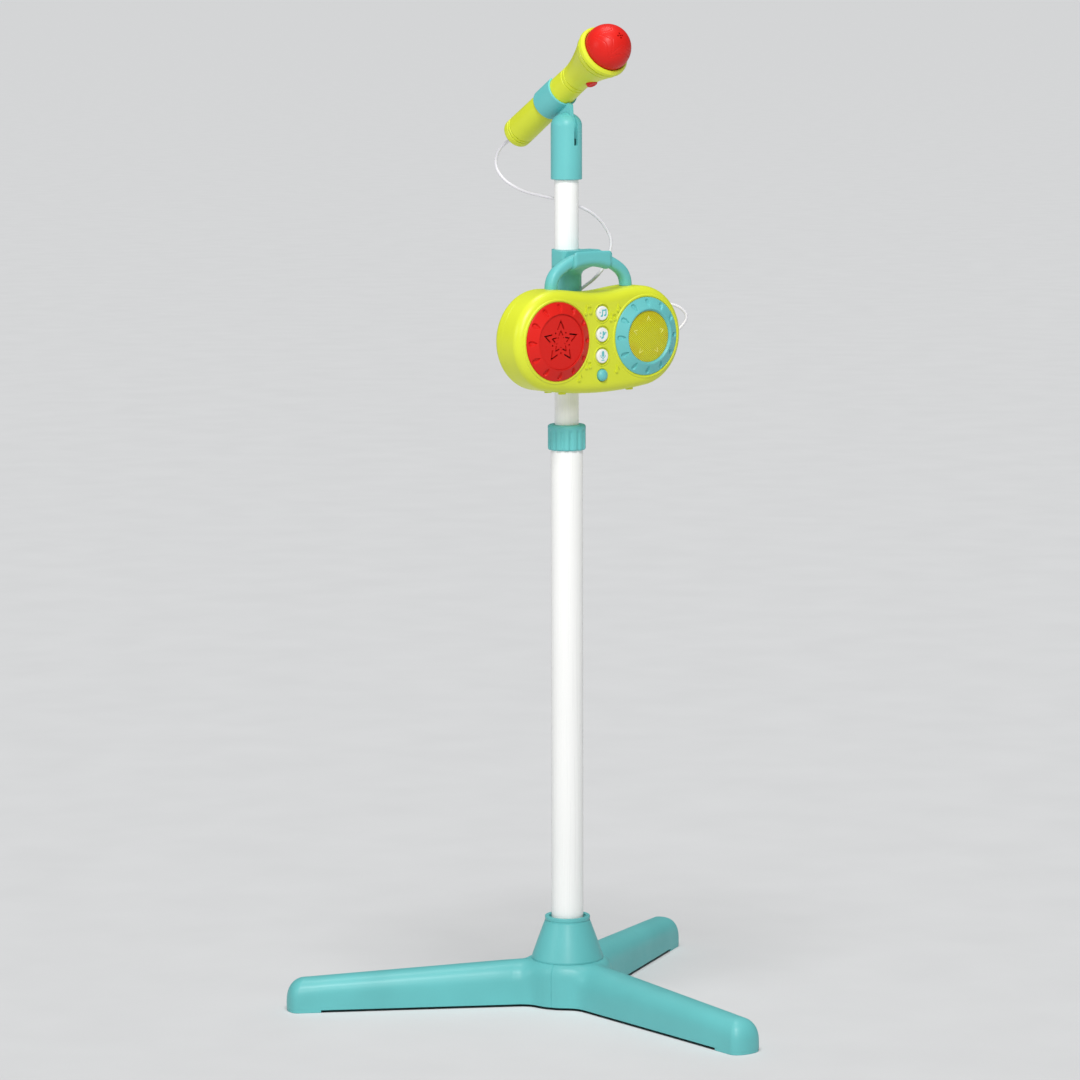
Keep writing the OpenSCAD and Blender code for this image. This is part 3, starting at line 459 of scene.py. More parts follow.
CORD_ROUTE = [
    (0, 83.8, 864.5), (0, 91, 860.8), (0, 98.9, 857), (0, 106, 852.5), (0, 112, 846),
    (0, 114.5, 837.5), (0, 111, 829), (0, 100.5, 820.8), (0, 85, 814.6), (0, 65, 809.8),
    (0, 41, 807), (1, 24, 805), (6, 18, 803), (14, 15, 800), (23, 11.5, 797.3),
    (36, 8, 791), (47.5, 6, 782), (55, 4, 771.5), (57.5, 2, 762.5), (56, 1, 753.5),
    (51, 0.5, 742.5), (44, 0, 733), (34, 0.5, 724.5), (24, 4, 717), (17, 11, 709),
    (16, 17, 700), (22, 20, 691), (34, 17.5, 685), (50, 11, 684), (68, 5, 688),
    (86, 0, 693), (103, -6, 697), (117, -14, 697.5), (126.5, -21, 694),
    (131.5, -25.5, 687.5), (130.5, -26.5, 681), (124.5, -25.5, 674), (117.5, -24.2, 669.8),
    (110.3, -24, 668.5),
]
CORD_R = 1.6


def sweep(name, line, section):
    """A closed section, given as (side, up) offsets, carried along a line without twist."""
    rings = []
    side = Vector((1, 0, 0))
    for i, p in enumerate(line):
        along = (line[min(i + 1, len(line) - 1)] - line[max(i - 1, 0)]).normalized()
        side = (side - along * side.dot(along)).normalized()
        other = along.cross(side)
        rings.append([tuple(p + side * a + other * b) for a, b in section])
    return loft(name, rings)


def ellipse(a, b, steps, power=1.0):
    """An oval section; a power under one squares it."""
    def shaped(v):
        return abs(v) ** power * (1 if v > 0 else -1)
    return [(a * shaped(x), b * shaped(y)) for x, y, _ in circle(1, 0, steps)]


cord_line = smooth_line(CORD_ROUTE, 6)
cord = sweep("mic_cord", cord_line, ellipse(CORD_R, CORD_R, 14))

# ------ base

HUB_TOP, FOOT_Z, PLATE_TOP = 44.5, 2.5, 8.0
FALL = 0.0535                       # how much a leg's crest drops for each millimetre outwards
GROOVE, GROOVE_IN, GROOVE_DOWN = 0.7, 0.986, 0.4    # the seam's groove: width, scale, depth


def leg_lines():
    """Half a leg from the seam to the tip, as rows of edge x and y, crest x and y, top z, side z."""
    seam = [(22.4, 38.8), (27.6, 35.3), (32.3, 31.0), (36.6, 26.4), (41.0, 22.9), (46.0, 21.0),
            (52.0, 20.15), (60.0, 19.95)]
    crest_turn = [60, 51, 42, 32, 20, 8, 0, 0]
    crest_out = [36, 36, 36, 36, 36.2, 37.5, 43, 54]
    side_z = [30, 30, 29.5, 28.5, 26.5, 23.8, 21.5, 20.2]
    rows = []
    for edge, a, out, side in zip(seam, crest_turn, crest_out, side_z):
        crest = out * cos(radians(a)), out * sin(radians(a))
        rows.append((*edge, *crest, HUB_TOP - max(0, out - 45) * FALL, side))
    rows = [tuple(v) for v in smooth_line(rows, 4)]
    for u in list(range(66, 258, 12)) + [258, 262, 266, 270, 273]:
        half = 19.95 + (17.3 - 19.95) * min(1, (u - 60) / 200)
        crest = min(u, 258) if u < 258 else 258 + (u - 258) * 0.25
        top = HUB_TOP - (crest - 45) * FALL
        lower = max(0, u - 250) / 33
        rows.append((u, half, crest, 0, top, 0.45 * top * (1 - lower * 0.5)))
    for a in range(10, 91, 10):
        c, s = sin(radians(a)), cos(radians(a))
        rows.append((273 + 10 * c, 17.3 * s, 261.75, 0, HUB_TOP - 216.75 * FALL, 9.7 - 1.2 * c))
    return rows


def leg_shell(name, turn):
    """One leg with its third of the hub, as a thin shell open underneath, and its foot pad."""
    half = leg_lines()
    groove = GROOVE / hypot(half[1][0] - half[0][0], half[1][1] - half[0][1])
    half.insert(1, tuple(a + (b - a) * groove for a, b in zip(half[0], half[1])))
    half[0] = tuple(v * GROOVE_IN if i < 4 else v - GROOVE_DOWN for i, v in enumerate(half[0]))
    rows = half + [(u, -w, cu, -cw, top, side) for u, w, cu, cw, top, side in half[-2::-1]]
    bands = 9
    inner = 20.9
    strip = []
    for u, w, cu, cw, top, side in rows:
        line = [(u, w, FOOT_Z + 0.5), (u, w, side * 0.5), (u, w, side)]
        power = 0.86 if u > 60 else 0.98
        for b in range(1, bands + 1):
            a = b / bands * pi / 2
            t = 1 - cos(a) ** power if b < bands else 1.0
            line.append((u + (cu - u) * t, w + (cw - w) * t, side + (top - side) * sin(a) ** power))
        nudge = Vector((cu - u, cw - w)).normalized() * 0.35
        line.insert(0, (u + nudge.x, w + nudge.y, FOOT_Z))
        reach = hypot(cu, cw)
        near = (cu * inner / reach, cw * inner / reach) if reach < 40 else None
        strip.append((line, near, top))
    points, faces = [], []
    n = len(strip[0][0])
    for line, near, top in strip:
        points += line
    for i in range(len(strip) - 1):
        faces += [(i * n + j, (i + 1) * n + j, (i + 1) * n + j + 1, i * n + j + 1) for j in range(n - 1)]
    hub = [i for i, s in enumerate(strip) if s[1]]
    middle = len(strip) / 2
    left, right = [i for i in hub if i < middle], [i for i in hub if i > middle]
    for run in (left, right):
        start = len(points)
        points += [(*strip[i][1], strip[i][2]) for i in run]
        crest = [i * n + n - 1 for i in run]
        faces += [(crest[k], crest[k + 1], start + k + 1, start + k) for k in range(len(run) - 1)]
    left_end, right_end = left[-1], right[0]
    start = len(points)
    points += [(*strip[i][1], strip[i][2]) for i in (left_end, right_end)]
    last = max(i for i in range(left_end, len(strip)) if strip[i][0][-1][0] < 60 and i < middle)
    faces += [(left_end * n + n - 1, last * n + n - 1, right_end * n + n - 1, start + 1, start)]
    place = turned(turn, "Z")
    shell = build(name, points, faces, place)
    work = bmesh.new()
    work.from_mesh(shell.data)
    bmesh.ops.dissolve_degenerate(work, edges=work.edges, dist=1e-6)
    up = max(work.faces, key=lambda f: f.calc_center_median().z)
    if up.normal.z < 0:
        bmesh.ops.reverse_faces(work, faces=work.faces)
    work.to_mesh(shell.data)
    work.free()
    mod = shell.modifiers.new("wall", "SOLIDIFY")
    mod.thickness, mod.offset, mod.use_even_offset = 2.2 * MM, -1, False
    applied(shell)
    outline = [(250.0, 17.2), (250.0, -17.2)] + arc(272.8, 0, 9.9, 17.1, range(-90, 91, 10))
    pad = prism(name + "_pad", outline, 0.0, FOOT_Z + 2.4, place)
    return merge([shell, eased(pad, 0.5)])


for name, turn in (("leg_front", -90), ("leg_left", 150), ("leg_right", 30)):
    piece(leg_shell(name.replace("leg", "stand_leg"), turn), "base", teal, "teal_plastic", name, angle=50)

piece(spin("stand_cone", soft([
    (36, 44.55, 0.2), (36, 46.2, 0.8), (30.5, 62, 60), (22.9, 82.6, 0.4), (22.0, 83.2, 0.2),
    (22.0, 84.2, 0.2), (22.6, 84.8, 0.3), (22.6, 88, 0.8), (18.4, 88, 0.6), (17.7, 79.5, 0.3),
    (16.1, 78.5, 0.2), (16.1, 8.1), (18.5, 8.1), (18.5, 82, 0.5), (20.4, 82, 0.5), (33.6, 46.2),
    (33.6, 44.55)]), steps=128),
    "base", teal, "teal_plastic", "base_cone")

# ------ pole


def pipe(name, outer, inner, low, high):
    wall = [(outer, low, 0.3), (outer, high, 0.3), (inner, high, 0.3), (inner, low, 0.3)]
    return spin(name, soft(wall, 2))


piece(pipe("pole_lower", 16, 14.6, PLATE_TOP, 556), "base", tube, "tube_white", "lower_tube")
piece(pipe("pole_upper", 12, 10.6, 420, 850), "mast", tube, "tube_white", "upper_tube")


def collar_mesh():
    """The lock collar: a plain rounded top band, and upright flutes that run out of its lower edge."""
    low, high, outer = 557.6, 583.0, 18.9
    line = [(15.3, low), (16.6, low)]
    line += arc(outer - 1.9, low + 2.2, 1.9, 2.2, range(-80, 1, 20))
    line += [(outer, z) for z in (564, 568, 572, 575, 576.2, 577.2, 578.2, 579.2)]
    line += arc(outer - 2.8, high - 2.8, 2.8, 2.8, range(0, 91, 15))
    line += [(13.2, high), (12.3, high - 0.8), (12.3, 577.0), (15.3, 577.0)]
    flutes = 14
    steps = flutes * 18
    rings = []
    for r, z in line:
        ring = []
        for k in range(steps):
            a = 2 * pi * k / steps
            wave = (a * flutes / (2 * pi)) % 1
            dip = max(0.0, 1 - (abs(wave - 0.5) / 0.24) ** 2) ** 0.7
            fade = min(1, max(0, (578.4 - z) / 2.2)) if r > 14.5 else 0
            depth = 1.15 * dip * fade * min(1, max(0, r - 15.3) / 1.6)
            ring.append(((r - depth) * cos(a), (r - depth) * sin(a), z))
        rings.append(ring)
    return loft("pole_collar", rings, wrap=True)


piece(collar_mesh(), "lock_collar", teal, "teal_plastic", "lock_collar", angle=50)

# ------ clip mount, screw and clip

PIVOT_Z, SLOT_W = 878.0, 4.2
MIC = at(0, -64.8, 953.8) @ turned(-121, "X")
TO_BACK = turned(-90, "X")          # local Z towards the back
TALK = MIC @ at(z=39) @ TO_BACK
ACROSS = turned(90, "Y")            # local Z towards the right
PIVOT = at(z=PIVOT_Z) @ ACROSS


def box(name, low, high, place=HERE):
    (x0, y0, z0), (x1, y1, z1) = low, high
    return loft(name, [[(x0, y0, z), (x1, y0, z), (x1, y1, z), (x0, y1, z)] for z in (z0, z1)], place)


def bar(name, r, low, high, place=HERE, steps=48):
    return loft(name, [circle(r, z, steps) for z in (low, high)], place)


def mount_mesh():
    dome = arc(0, 877, 15.4, 13, range(0, 91, 6))
    body = spin("clip_fork", [(12.03, 824.5), (14.9, 824.5), (15.4, 825.1)] + dome
                + [(0, 850), (12.03, 850)], steps=96)
    cut = [box("c", (-SLOT_W / 2, -20, PIVOT_Z - 20), (SLOT_W / 2, 20, PIVOT_Z + 20)),
           bar("c", 12.6, 852, 864.5), bar("c", 2.02, -12, 28, PIVOT), bar("c", 3.7, 12.0, 22, PIVOT)]
    return eased(combine(body, cut), 0.45, 50)


piece(mount_mesh(), "mast", teal, "teal_plastic", "clip_mount")


def screw_head(name, r, height, shank, length, place):
    """A pan-head screw along local Z, head outwards at +Z, with a cross recess."""
    body = spin(name, [(0, -length), (shank, -length), (shank, 0), (r, 0)]
                + arc(0.55 * r, 0, 0.45 * r, height, range(0, 61, 15)) + [(0, height)], place, steps=40)
    slots = [box("c", (-r * 0.6, -0.32, height * 0.35), (r * 0.6, 0.32, height + 2), place),
             box("c", (-0.32, -r * 0.6, height * 0.35), (0.32, r * 0.6, height + 2), place)]
    return combine(body, slots)


piece(screw_head("tilt_screw", 3.4, 1.9, 1.95, 23.8, PIVOT @ at(z=12.05)),
      "mast", steel, "steel", "pivot_screw")


def clip_mesh():
    """The open ring that grips the microphone, with the tongue under it."""
    start, end = radians(300), radians(600)
    outline = soft([(14.86, 82, 0.3), (16.6, 82, 0.8), (16.6, 111, 0.8), (14.86, 111, 0.3)], 3)
    steps = 72
    rings = []
    for k in range(steps + 1):
        a = start + (end - start) * k / steps
        rings.append([(r * cos(a), r * sin(a), z) for r, z in outline])
    ring = eased(loft("mic_ring", rings, MIC), 0.5, 60)
    half = (SLOT_W - 0.5) / 2
    leaf = arc(0, 0, 12.8, 12.8, range(138, 398, 8))
    leaf += [(12.4, 16), (12, 24), (1, 24), (-8.7, 19.5)]
    place = at(z=PIVOT_Z) @ Matrix(((0, 0, 1, 0), (1, 0, 0, 0), (0, 1, 0, 0), (0, 0, 0, 1)))
    tongue = prism("c", leaf, -half, half, place)
    combine(tongue, [bar("c", 14.86, 60, 169, MIC, 96), bar("c", 15.4, 40, 82, MIC, 96),
                     bar("c", 2.08, -20, 20, PIVOT)])
    return combine(ring, [eased(tongue, 0.35, 50)], "UNION")


piece(clip_mesh(), "clip", teal, "teal_plastic", "mic_clip")

# ------ microphone

BELL = [(24.7, 4.0, 0.35), (26.6, 6.4, 0.7), (27.0, 9.4, 0.2), (25.1, 9.8), (25.1, 10.8), (26.1, 11.5, 0.15),
        (25.0, 15.9, 0.15), (23.2, 16.3), (23.2, 17.0), (24.1, 17.7, 0.15)]
FLARE = [(23.9, 18.2), (22.2, 23), (19.9, 30), (17.9, 37), (16.3, 44), (15.2, 50), (14.65, 55.5),
         (14.6, 56.6)]


def bell_mesh():
    flare = [tuple(p) for p in smooth_line(FLARE, 3)]
    front = soft([(23.15, 4.2, 0.2)] + BELL + [(23.9, 18.3), (23.3, 10)], 3)[:-2]
    inner = [(12.2, 57.0), (11.6, 57.0), (11.6, 66), (10.0, 66), (10.0, 57), (12.2, 50), (13.4, 44),
             (15.4, 37), (17.9, 30), (20.7, 23), (22.6, 17.6), (23.2, 16.8), (23.2, 6)]
    body = spin("mic_horn", front + flare[1:] + [(13.9, 57.0)] + inner, MIC, steps=120)
    return combine(body, [bar("c", 5.8, 0, 30, TALK, 64)])


piece(bell_mesh(), "mic", lime, "lime_plastic", "mic_bell", angle=40)

piece(spin("mic_grip", soft([
    (11.7, 57.05), (13.4, 57.05), (14.6, 57.7, 0.1), (14.6, 61.1, 0.1), (13.4, 61.75), (14.6, 62.4, 0.1),
    (14.8, 80), (14.8, 113), (15.3, 157.7, 0.1), (14.1, 158.4), (11.7, 158.4)], 3),
    MIC, steps=120), "mic", lime, "lime_plastic", "mic_handle")

piece(spin("mic_tail", soft([
    (2.5, 171, 0.3), (2.5, 168.6), (10, 168.6), (10, 150.6), (11.6, 150.6), (11.6, 158.5), (14.1, 158.5),
    (15.3, 159.2, 0.1), (15.3, 161.1, 0.1), (14.1, 161.75), (15.3, 162.4, 0.1), (15.2, 171, 4.5)], 6),
    MIC, steps=120), "mic", lime, "lime_plastic", "mic_tail_cap")


def star_gap(polar, turn, tip, notch):
    """How far, in degrees, a direction on the ball lies from a star that has a point at turn -90."""
    a = (turn + 90) % 72
    a = min(a, 72 - a)
    x, y = polar * cos(radians(a)), polar * sin(radians(a))
    bx, by = notch * cos(radians(36)), notch * sin(radians(36))
    dx, dy = bx - tip, by
    t = max(0, min(1, ((x - tip) * dx + y * dy) / (dx * dx + dy * dy)))
    return hypot(x - tip - dx * t, y - dy * t)


def ball_mesh():
    """The red ball, with shallow star-shaped grooves round its pole and five sound holes."""
    r = 23.0
    hollow = r - 1.8
    rows = [k * 0.9 for k in range(1, 75)] + [69, 72, 76, 80, 85, 90, 97, 104, 111, 118, 124, 127.5]
    steps = 288
    rings = []
    for p in rows:
        ring = []
        for k in range(steps):
            turn = 360 * k / steps
            gap = min(star_gap(p, turn, 52, 25), star_gap(p, turn, 66, 44) if p > 38 else 9)
            dip = 0.24 * min(1, 1.6 * max(0, 1 - gap / 1.15))
            out = (r - dip) * sin(radians(p))
            ring.append((out * cos(radians(turn)), out * sin(radians(turn)), -(r - dip) * cos(radians(p))))
        rings.append(ring)
    inner = [circle(hollow * sin(radians(p)), -hollow * cos(radians(p)), steps)
             for p in (126, 110, 90, 70, 50, 30, 12)]
    body = build("mic_head", *skin(rings + inner), MIC)
    holes = [bar("c", 1.0, -26, -17, MIC @ at(2.5 * x, 2.5 * y, 0), 20)
             for x, y in ((0, 0), (1, 0), (-1, 0), (0, 1), (0, -1))]
    return combine(body, [merge(holes)])


piece(ball_mesh(), "mic", red, "red_plastic", "mic_ball", angle=30)

piece(spin("talk_key", [(0, 11.3), (6.3, 11.3), (6.3, 12.3), (5.5, 12.4), (5.5, 17.4)]
           + arc(5.5 - 1.6, 17.4, 1.6, 1.8, range(0, 91, 15))
           + [(2.4, 19.2), (1.8, 18.9), (0, 18.75)], TALK, steps=64),
      "talk_button", red, "red_plastic", "mic_button")

piece(spin("cord_sleeve", [(0, 166), (4, 166), (4, 168.5), (2.4, 168.5), (2.4, 171), (2.4, 171.6),
                           (2.2, 171.9), (2.35, 172.2), (2.15, 172.5), (2.25, 172.9), (2.0, 173.2),
                           (1.5, 173.4), (0, 173.4)],
           MIC, steps=40), "mic", white, "white_plastic", "cord_relief")

# ------ speaker box

BOX_Z, LOBE_X, LOBE_R, DIP, LIFT, LOW = 668.5, 53.5, 49.5, 4.5, 2.4, 51.0
BELLY = (LOBE_X ** 2 + (LIFT + LOW) ** 2 - LOBE_R ** 2) / (LIFT + LOW - LOBE_R) / 2
LEAN = asin(LOBE_X / (BELLY - LOBE_R))
FACE, BACK, SEAM, WALL = 56.0, 16.0, 30.0, 2.2
DIAL_X, DIAL_Z, HOLE_R = 55.0, 670.9, 36.5
BAR_OUT, ARCH_X = 34.5, 46.5
GLAND = at(0, -24, BOX_Z) @ ACROSS
KEYS = {"song_button": 696.1, "effect_button": 675.1, "voice_button": 654.1}
VOL_Z = 635.4


def on_face(x, z):
    return at(x, 0, z) @ turned(90, "X")


RED_DIAL, TEAL_DIAL = on_face(-DIAL_X, DIAL_Z), on_face(DIAL_X, DIAL_Z)


def box_ring(inset, out):
    """The box's outline, drawn inwards by inset, at a distance in front of the pole's axis."""
    r = LOBE_R - inset
    turns = [LEAN - pi / 2 + (pi - LEAN) * k / 36 for k in range(37)]
    side = [(LOBE_X + r * cos(a), LIFT + r * sin(a)) for a in turns]
    pts = side + [(x, LIFT + r - DIP * (1 + cos(pi * x / LOBE_X)) / 2)
                  for x in [LOBE_X * (1 - k / 12) for k in range(1, 24)]]
    pts += [(-x, z) for x, z in side[::-1]]
    pts += [((BELLY - inset) * sin(a), BELLY - LOW - (BELLY - inset) * cos(a))
            for a in [LEAN * (k / 6 - 1) for k in range(1, 12)]]
    return [(x, -out, BOX_Z + z) for x, z in pts]


def edge_rings(inset, out, way, r):
    """The rings of a rounded edge of radius r, towards the front with way 1 and the back with -1."""
    turns = [radians(a) for a in range(0, 91, 9)]
    return [box_ring(inset + r * (1 - cos(a)), out + way * r * sin(a)) for a in turns]


POSTS = [(22, -37.5), (-22, -37.5), (22, 36.5), (-22, 36.5)]


def front_shell():
    rings = [box_ring(WALL + 8.6, FACE - WALL)] + edge_rings(WALL, FACE - 10, 1, 7.8)[::-1]
    rings += [box_ring(WALL, SEAM), box_ring(0.12, SEAM), box_ring(0, SEAM + 0.12)]
    rings += edge_rings(0, FACE - 10, 1, 10) + [box_ring(10.8, FACE)]
    holes = [bar("c", 8.75, 50, 60, on_face(0, z), 48) for z in KEYS.values()]
    holes += [bar("c", 6.45, 50, 60, on_face(0, VOL_Z), 48)]
    holes += [bar("c", HOLE_R, 50, 60, dial, 96) for dial in (RED_DIAL, TEAL_DIAL)]
    holes += [bar("c", 3.05, 0, 30, at(x, -BAR_OUT, 712.5), 24) for x in (-ARCH_X, ARCH_X)]
    shell = combine(loft("box_front", rings), [merge(holes)])
    rim = soft([(7.1, 53.9), (9.2, 53.9), (10.0, 55.8), (9.7, 56.7, 0.4), (8.9, 56.7, 0.3), (8.7, 56.0),
                (8.7, 54.9), (7.1, 54.9)], 3)
    seats = [spin("s", rim, on_face(0, z), 64) for z in KEYS.values()]
    rim = soft([(36.6, 53.9), (42.2, 53.9), (41.6, 55.9, 0.2), (40.9, 56.8, 0.7), (39.3, 56.8, 0.5),
                (38.8, 55.6, 0.2), (36.6, 55.6)], 4)
    seats += [spin("s", rim, dial, 120) for dial in (RED_DIAL, TEAL_DIAL)]
    posts = []
    for x, z in POSTS:
        hole = on_face(x, BOX_Z + z)
        posts.append(combine(bar("s", 3.6, 21.6, 54.6, hole, 32), [bar("c", 1.5, 18, 40, hole, 20)]))
    return merge([shell] + seats + posts)


piece(front_shell(), "mast", lime, "lime_plastic", "box_front_shell", angle=32)


def rear_shell():
    rings = [box_ring(9.5, BACK)] + edge_rings(0, BACK + 7, -1, 7)[::-1]
    rings += [box_ring(0, SEAM - 0.18), box_ring(0.12, SEAM - 0.06), box_ring(WALL, SEAM - 0.06)]
    rings += edge_rings(WALL, BACK + 7, -1, 4.8) + [box_ring(10, BACK + WALL)]
    shell = loft("box_back", rings)
    tray = box("s", (-83.6, -37.4, BOX_Z - 25.6), (-24.4, -17.0, BOX_Z + 25.6))
    shell = combine(shell, [tray], "UNION")
    well = [box("c", (-82, -35.8, BOX_Z - 24), (-26, -10, BOX_Z + 24))]
    for x, z in POSTS:
        well.append(bar("c", 3.3, 12, 20, on_face(x, BOX_Z + z), 32))
        well.append(bar("c", 1.65, 12, 26, on_face(x, BOX_Z + z), 24))
    well.append(bar("c", 3.25, 95, 107, GLAND, 32))
    for i in range(-3, 4):
        slot = stroke([(30 + abs(i) * 1.5, 5.2 * i), (70 - abs(i) * 1.5, 5.2 * i)], 1.8)
        well.append(prism("c", slot, 12, 20, on_face(0, BOX_Z)))
    return combine(shell, [merge(well)])


piece(rear_shell(), "mast", lime, "lime_plastic", "box_rear_shell", angle=32)


LID_SCREW = on_face(-54, BOX_Z + 19)


def door_mesh():
    door = eased(box("battery_lid", (-81.7, -18, BOX_Z - 23.7), (-26.3, -16, BOX_Z + 23.7)), 0.5)
    door = combine(door, [bar("c", 1.6, 10, 24, LID_SCREW, 24), bar("c", 3.1, 14.5, 17.2, LID_SCREW, 32)])
    ribs = [eased(prism("s", stroke([(-60, -16 + 2.4 * i), (-48, -16 + 2.4 * i)], 1.1), 15.4, 16.4,
                        on_face(0, BOX_Z)), 0.2) for i in range(4)]
    return merge([door] + ribs)


piece(door_mesh(), "battery_door", lime, "lime_plastic", "battery_door")

BEHIND = turned(180, "X")
piece(screw_head("lid_screw", 2.8, 1.3, 1.45, 3.2, LID_SCREW @ at(z=17.2) @ BEHIND),
      "battery_door", steel, "steel", "door_screw")
piece(merge([screw_head("shell_screws", 2.85, 1.7, 1.45, 13.5, on_face(x, BOX_Z + z)
                        @ at(z=19.6) @ BEHIND) for x, z in POSTS]),
      "mast", steel, "steel", "box_screws")


def dial_line(throat, slant):
    """The profile of a dial from its throat over the lip to the top of its slope."""
    top = 62.5
    return [(throat, 54.2), (throat, top - 0.7 - slant), (throat + 0.35 + slant, top - 0.12),
            (throat + 0.75 + slant, top), (27.3, top), (27.75, top - 0.12)]


def leaf_depth(along, across):
    """Depth of a finger dimple: a drop, pointed towards the dial's middle and round outside."""
    t = along / 4.1
    if abs(t) >= 1:
        return 0.0
    half = 2.6 * sqrt(1 - t) * (1 + t) / 1.09
    d = abs(across) / half if half > 0 else 9
    return 1.9 * min(1, (1 - d) * half / 1.1, (1 - t) * 4, (1 + t) * 3) if d < 1 else 0.0


def dial_mesh(name, place, throat, slant):
    """A dial's ring, with finger dimples in its slope; throat is its inner radius."""
    slope = [(28.0 + 9.9 * k / 30, 62.3 - 5.1 * k / 30) for k in range(31)]
    rise = Vector((5.1, 9.9)).normalized()
    tail = [(38.3, 56.9), (38.5, 56.5), (38.5, 56.05), (36.3, 56.05), (36.3, 52.4), (34, 52.4), (34, 56.4),
            (throat + 2, 59.5 - slant), (throat + 2, 54.2)]
    steps = 600
    rings = []
    for r, z in dial_line(throat, slant) + slope + tail:
        ring = []
        for k in range(steps):
            a = 360 * k / steps
            off = (a + 15) % 30 - 15
            dip = 0.0
            if (r, z) in slope:
                dip = leaf_depth(r / cos(radians(off)) - 32.9, r * sin(radians(off)))
            out = r - rise.x * dip
            ring.append((out * cos(radians(a)), out * sin(radians(a)), z - rise.y * dip))
        rings.append(ring)
    return loft(name, rings, place, wrap=True)


piece(dial_mesh("dial_red", RED_DIAL, 27.0, 0.0), "mast", red, "red_plastic", "red_bezel", angle=28)
piece(dial_mesh("dial_teal", TEAL_DIAL, 25.4, 1.1), "mast", teal, "teal_plastic", "light_bezel", angle=28)


def star_lines(tip, arm, spread):
    """Five V-shaped lines at a star's points, as 2-D polylines."""
    lines = []
    for k in range(5):
        turn = radians(90 + 72 * k)
        point = Vector((cos(turn), sin(turn))) * tip
        back = -point.normalized() * arm
        ends = [point + Matrix.Rotation(s * radians(spread), 2) @ back for s in (1, -1)]
        lines.append([tuple(ends[0]), tuple(point), tuple(ends[1])])
    return lines


def dots(radius, size):
    """Five round holes between a star's points, as x, y and radius."""
    return [(x, y, size) for x, y in arc(0, 0, radius, radius, range(270, 559, 72))]


def grille_mesh():
    top = 61.2
    plate = spin("star_plate", soft([(0, top - 2), (24.9, top - 2), (24.9, 52.4), (33.8, 52.4), (33.8, 54.1),
                                     (26.9, 54.1), (26.9, top, 0.4), (0, top)], 3), RED_DIAL, 96)
    outlines = [stroke(line, 1.45) for line in star_lines(20.2, 8.4, 26)]
    outlines += [stroke(line, 1.25) for line in star_lines(10.7, 4.6, 30)]
    cuts = [prism("c", outline, top - 5, top + 2, RED_DIAL) for outline in outlines]
    for x, y, r in dots(10.7, 1.0) + dots(5.2, 0.7):
        cuts.append(bar("c", r, top - 5, top + 2, RED_DIAL @ at(x, y), 20))
    return eased(combine(plate, [merge(cuts)]), 0.15, 60, 1)


piece(grille_mesh(), "mast", red, "red_plastic", "star_grille", angle=32)


def lens_mesh():
    rim = [(23.3, 58.6), (23.3, 52.4), (33.8, 52.4), (33.8, 54.1), (25.3, 54.1)]
    dome = [(25.3 * k / 14, 61.4 - 1.5 * (k / 14) ** 2) for k in range(14, -1, -1)]
    return spin("window", rim + dome + [(0, 60.2)], TEAL_DIAL, 96)


def lens_lines():
    """Faint star lines under the window's skin."""
    return merge([prism("window_star", stroke(line, 0.6), 60.0, 60.85, TEAL_DIAL, 0.1)
                  for line in star_lines(19.5, 8.4, 26)])


piece(lens_mesh(), "mast", amber, "lens_amber", "light_lens")
piece(lens_lines(), "mast", glow, "lens_amber")


def key_line(r, top, dome, rise):
    """The profile of a button of radius r, whose top falls by rise over its outer dome millimetres."""
    return [(0, 52.2), (r + 1.2, 52.2), (r + 1.2, 53.4), (r, 53.5),
            *arc(r - dome, top - rise, dome, rise, range(0, 91, 10)), (0, top)]


def note(x, y, size, pair, bold=1.5):
    """A music note as 2-D outlines with their heights above the surface."""
    s = size
    heads = [(x, y)] + ([(x + 0.95 * s, y + 0.12 * s)] if pair else [])
    out = []
    for hx, hy in heads:
        oval = [(hx + 0.30 * s * cos(t) - 0.07 * s * sin(t), hy + 0.10 * s * cos(t) + 0.21 * s * sin(t))
                for t in [2 * pi * k / 16 for k in range(16)]]
        out.append((oval, 1.0))
        stem = [(hx + 0.24 * s, hy + 0.05 * s), (hx + 0.24 * s, hy + 1.25 * s)]
        out.append((stroke(stem, 0.13 * bold * s, 3), 0.94))
    if pair:
        a, b = heads[0], heads[1]
        out.append(([(a[0] + 0.175 * s, a[1] + 1.0 * s), (b[0] + 0.305 * s, b[1] + 1.0 * s),
                     (b[0] + 0.305 * s, b[1] + 1.33 * s), (a[0] + 0.175 * s, a[1] + 1.33 * s)], 0.97))
    else:
        flag = [(x + 0.24 * s, y + 1.22 * s), (x + 0.50 * s, y + 0.98 * s), (x + 0.58 * s, y + 0.66 * s)]
        out.append((stroke(flag, 0.14 * bold * s, 3), 0.97))
    return out


def sparkle(x, y, size):
    reach = [size, size * 0.36] * 4
    turns = [pi * k / 4 + pi / 2 for k in range(8)]
    return [([(x + r * cos(a), y + r * sin(a)) for r, a in zip(reach, turns)], 1.0)]


def small_mic(x, y, s):
    """An upright microphone on its stand, as 2-D outlines."""
    cup = arc(x, y + 0.15 * s, 0.62 * s, 0.62 * s, range(180, 361, 15))
    return [(stroke([(x, y + 0.75 * s), (x, y + 0.12 * s)], 0.66 * s), 1.0),
            (stroke(cup, 0.17 * s, 3), 0.97),
            (stroke([(x, y - 0.5 * s), (x, y - 0.95 * s)], 0.17 * s, 3), 0.94),
            (stroke([(x - 0.38 * s, y - 0.95 * s), (x + 0.38 * s, y - 0.95 * s)], 0.17 * s, 3), 0.91)]


def raised(name, shapes, base, height, place):
    return merge([prism(name, outline, base - 0.3, base + height * k, place) for outline, k in shapes])


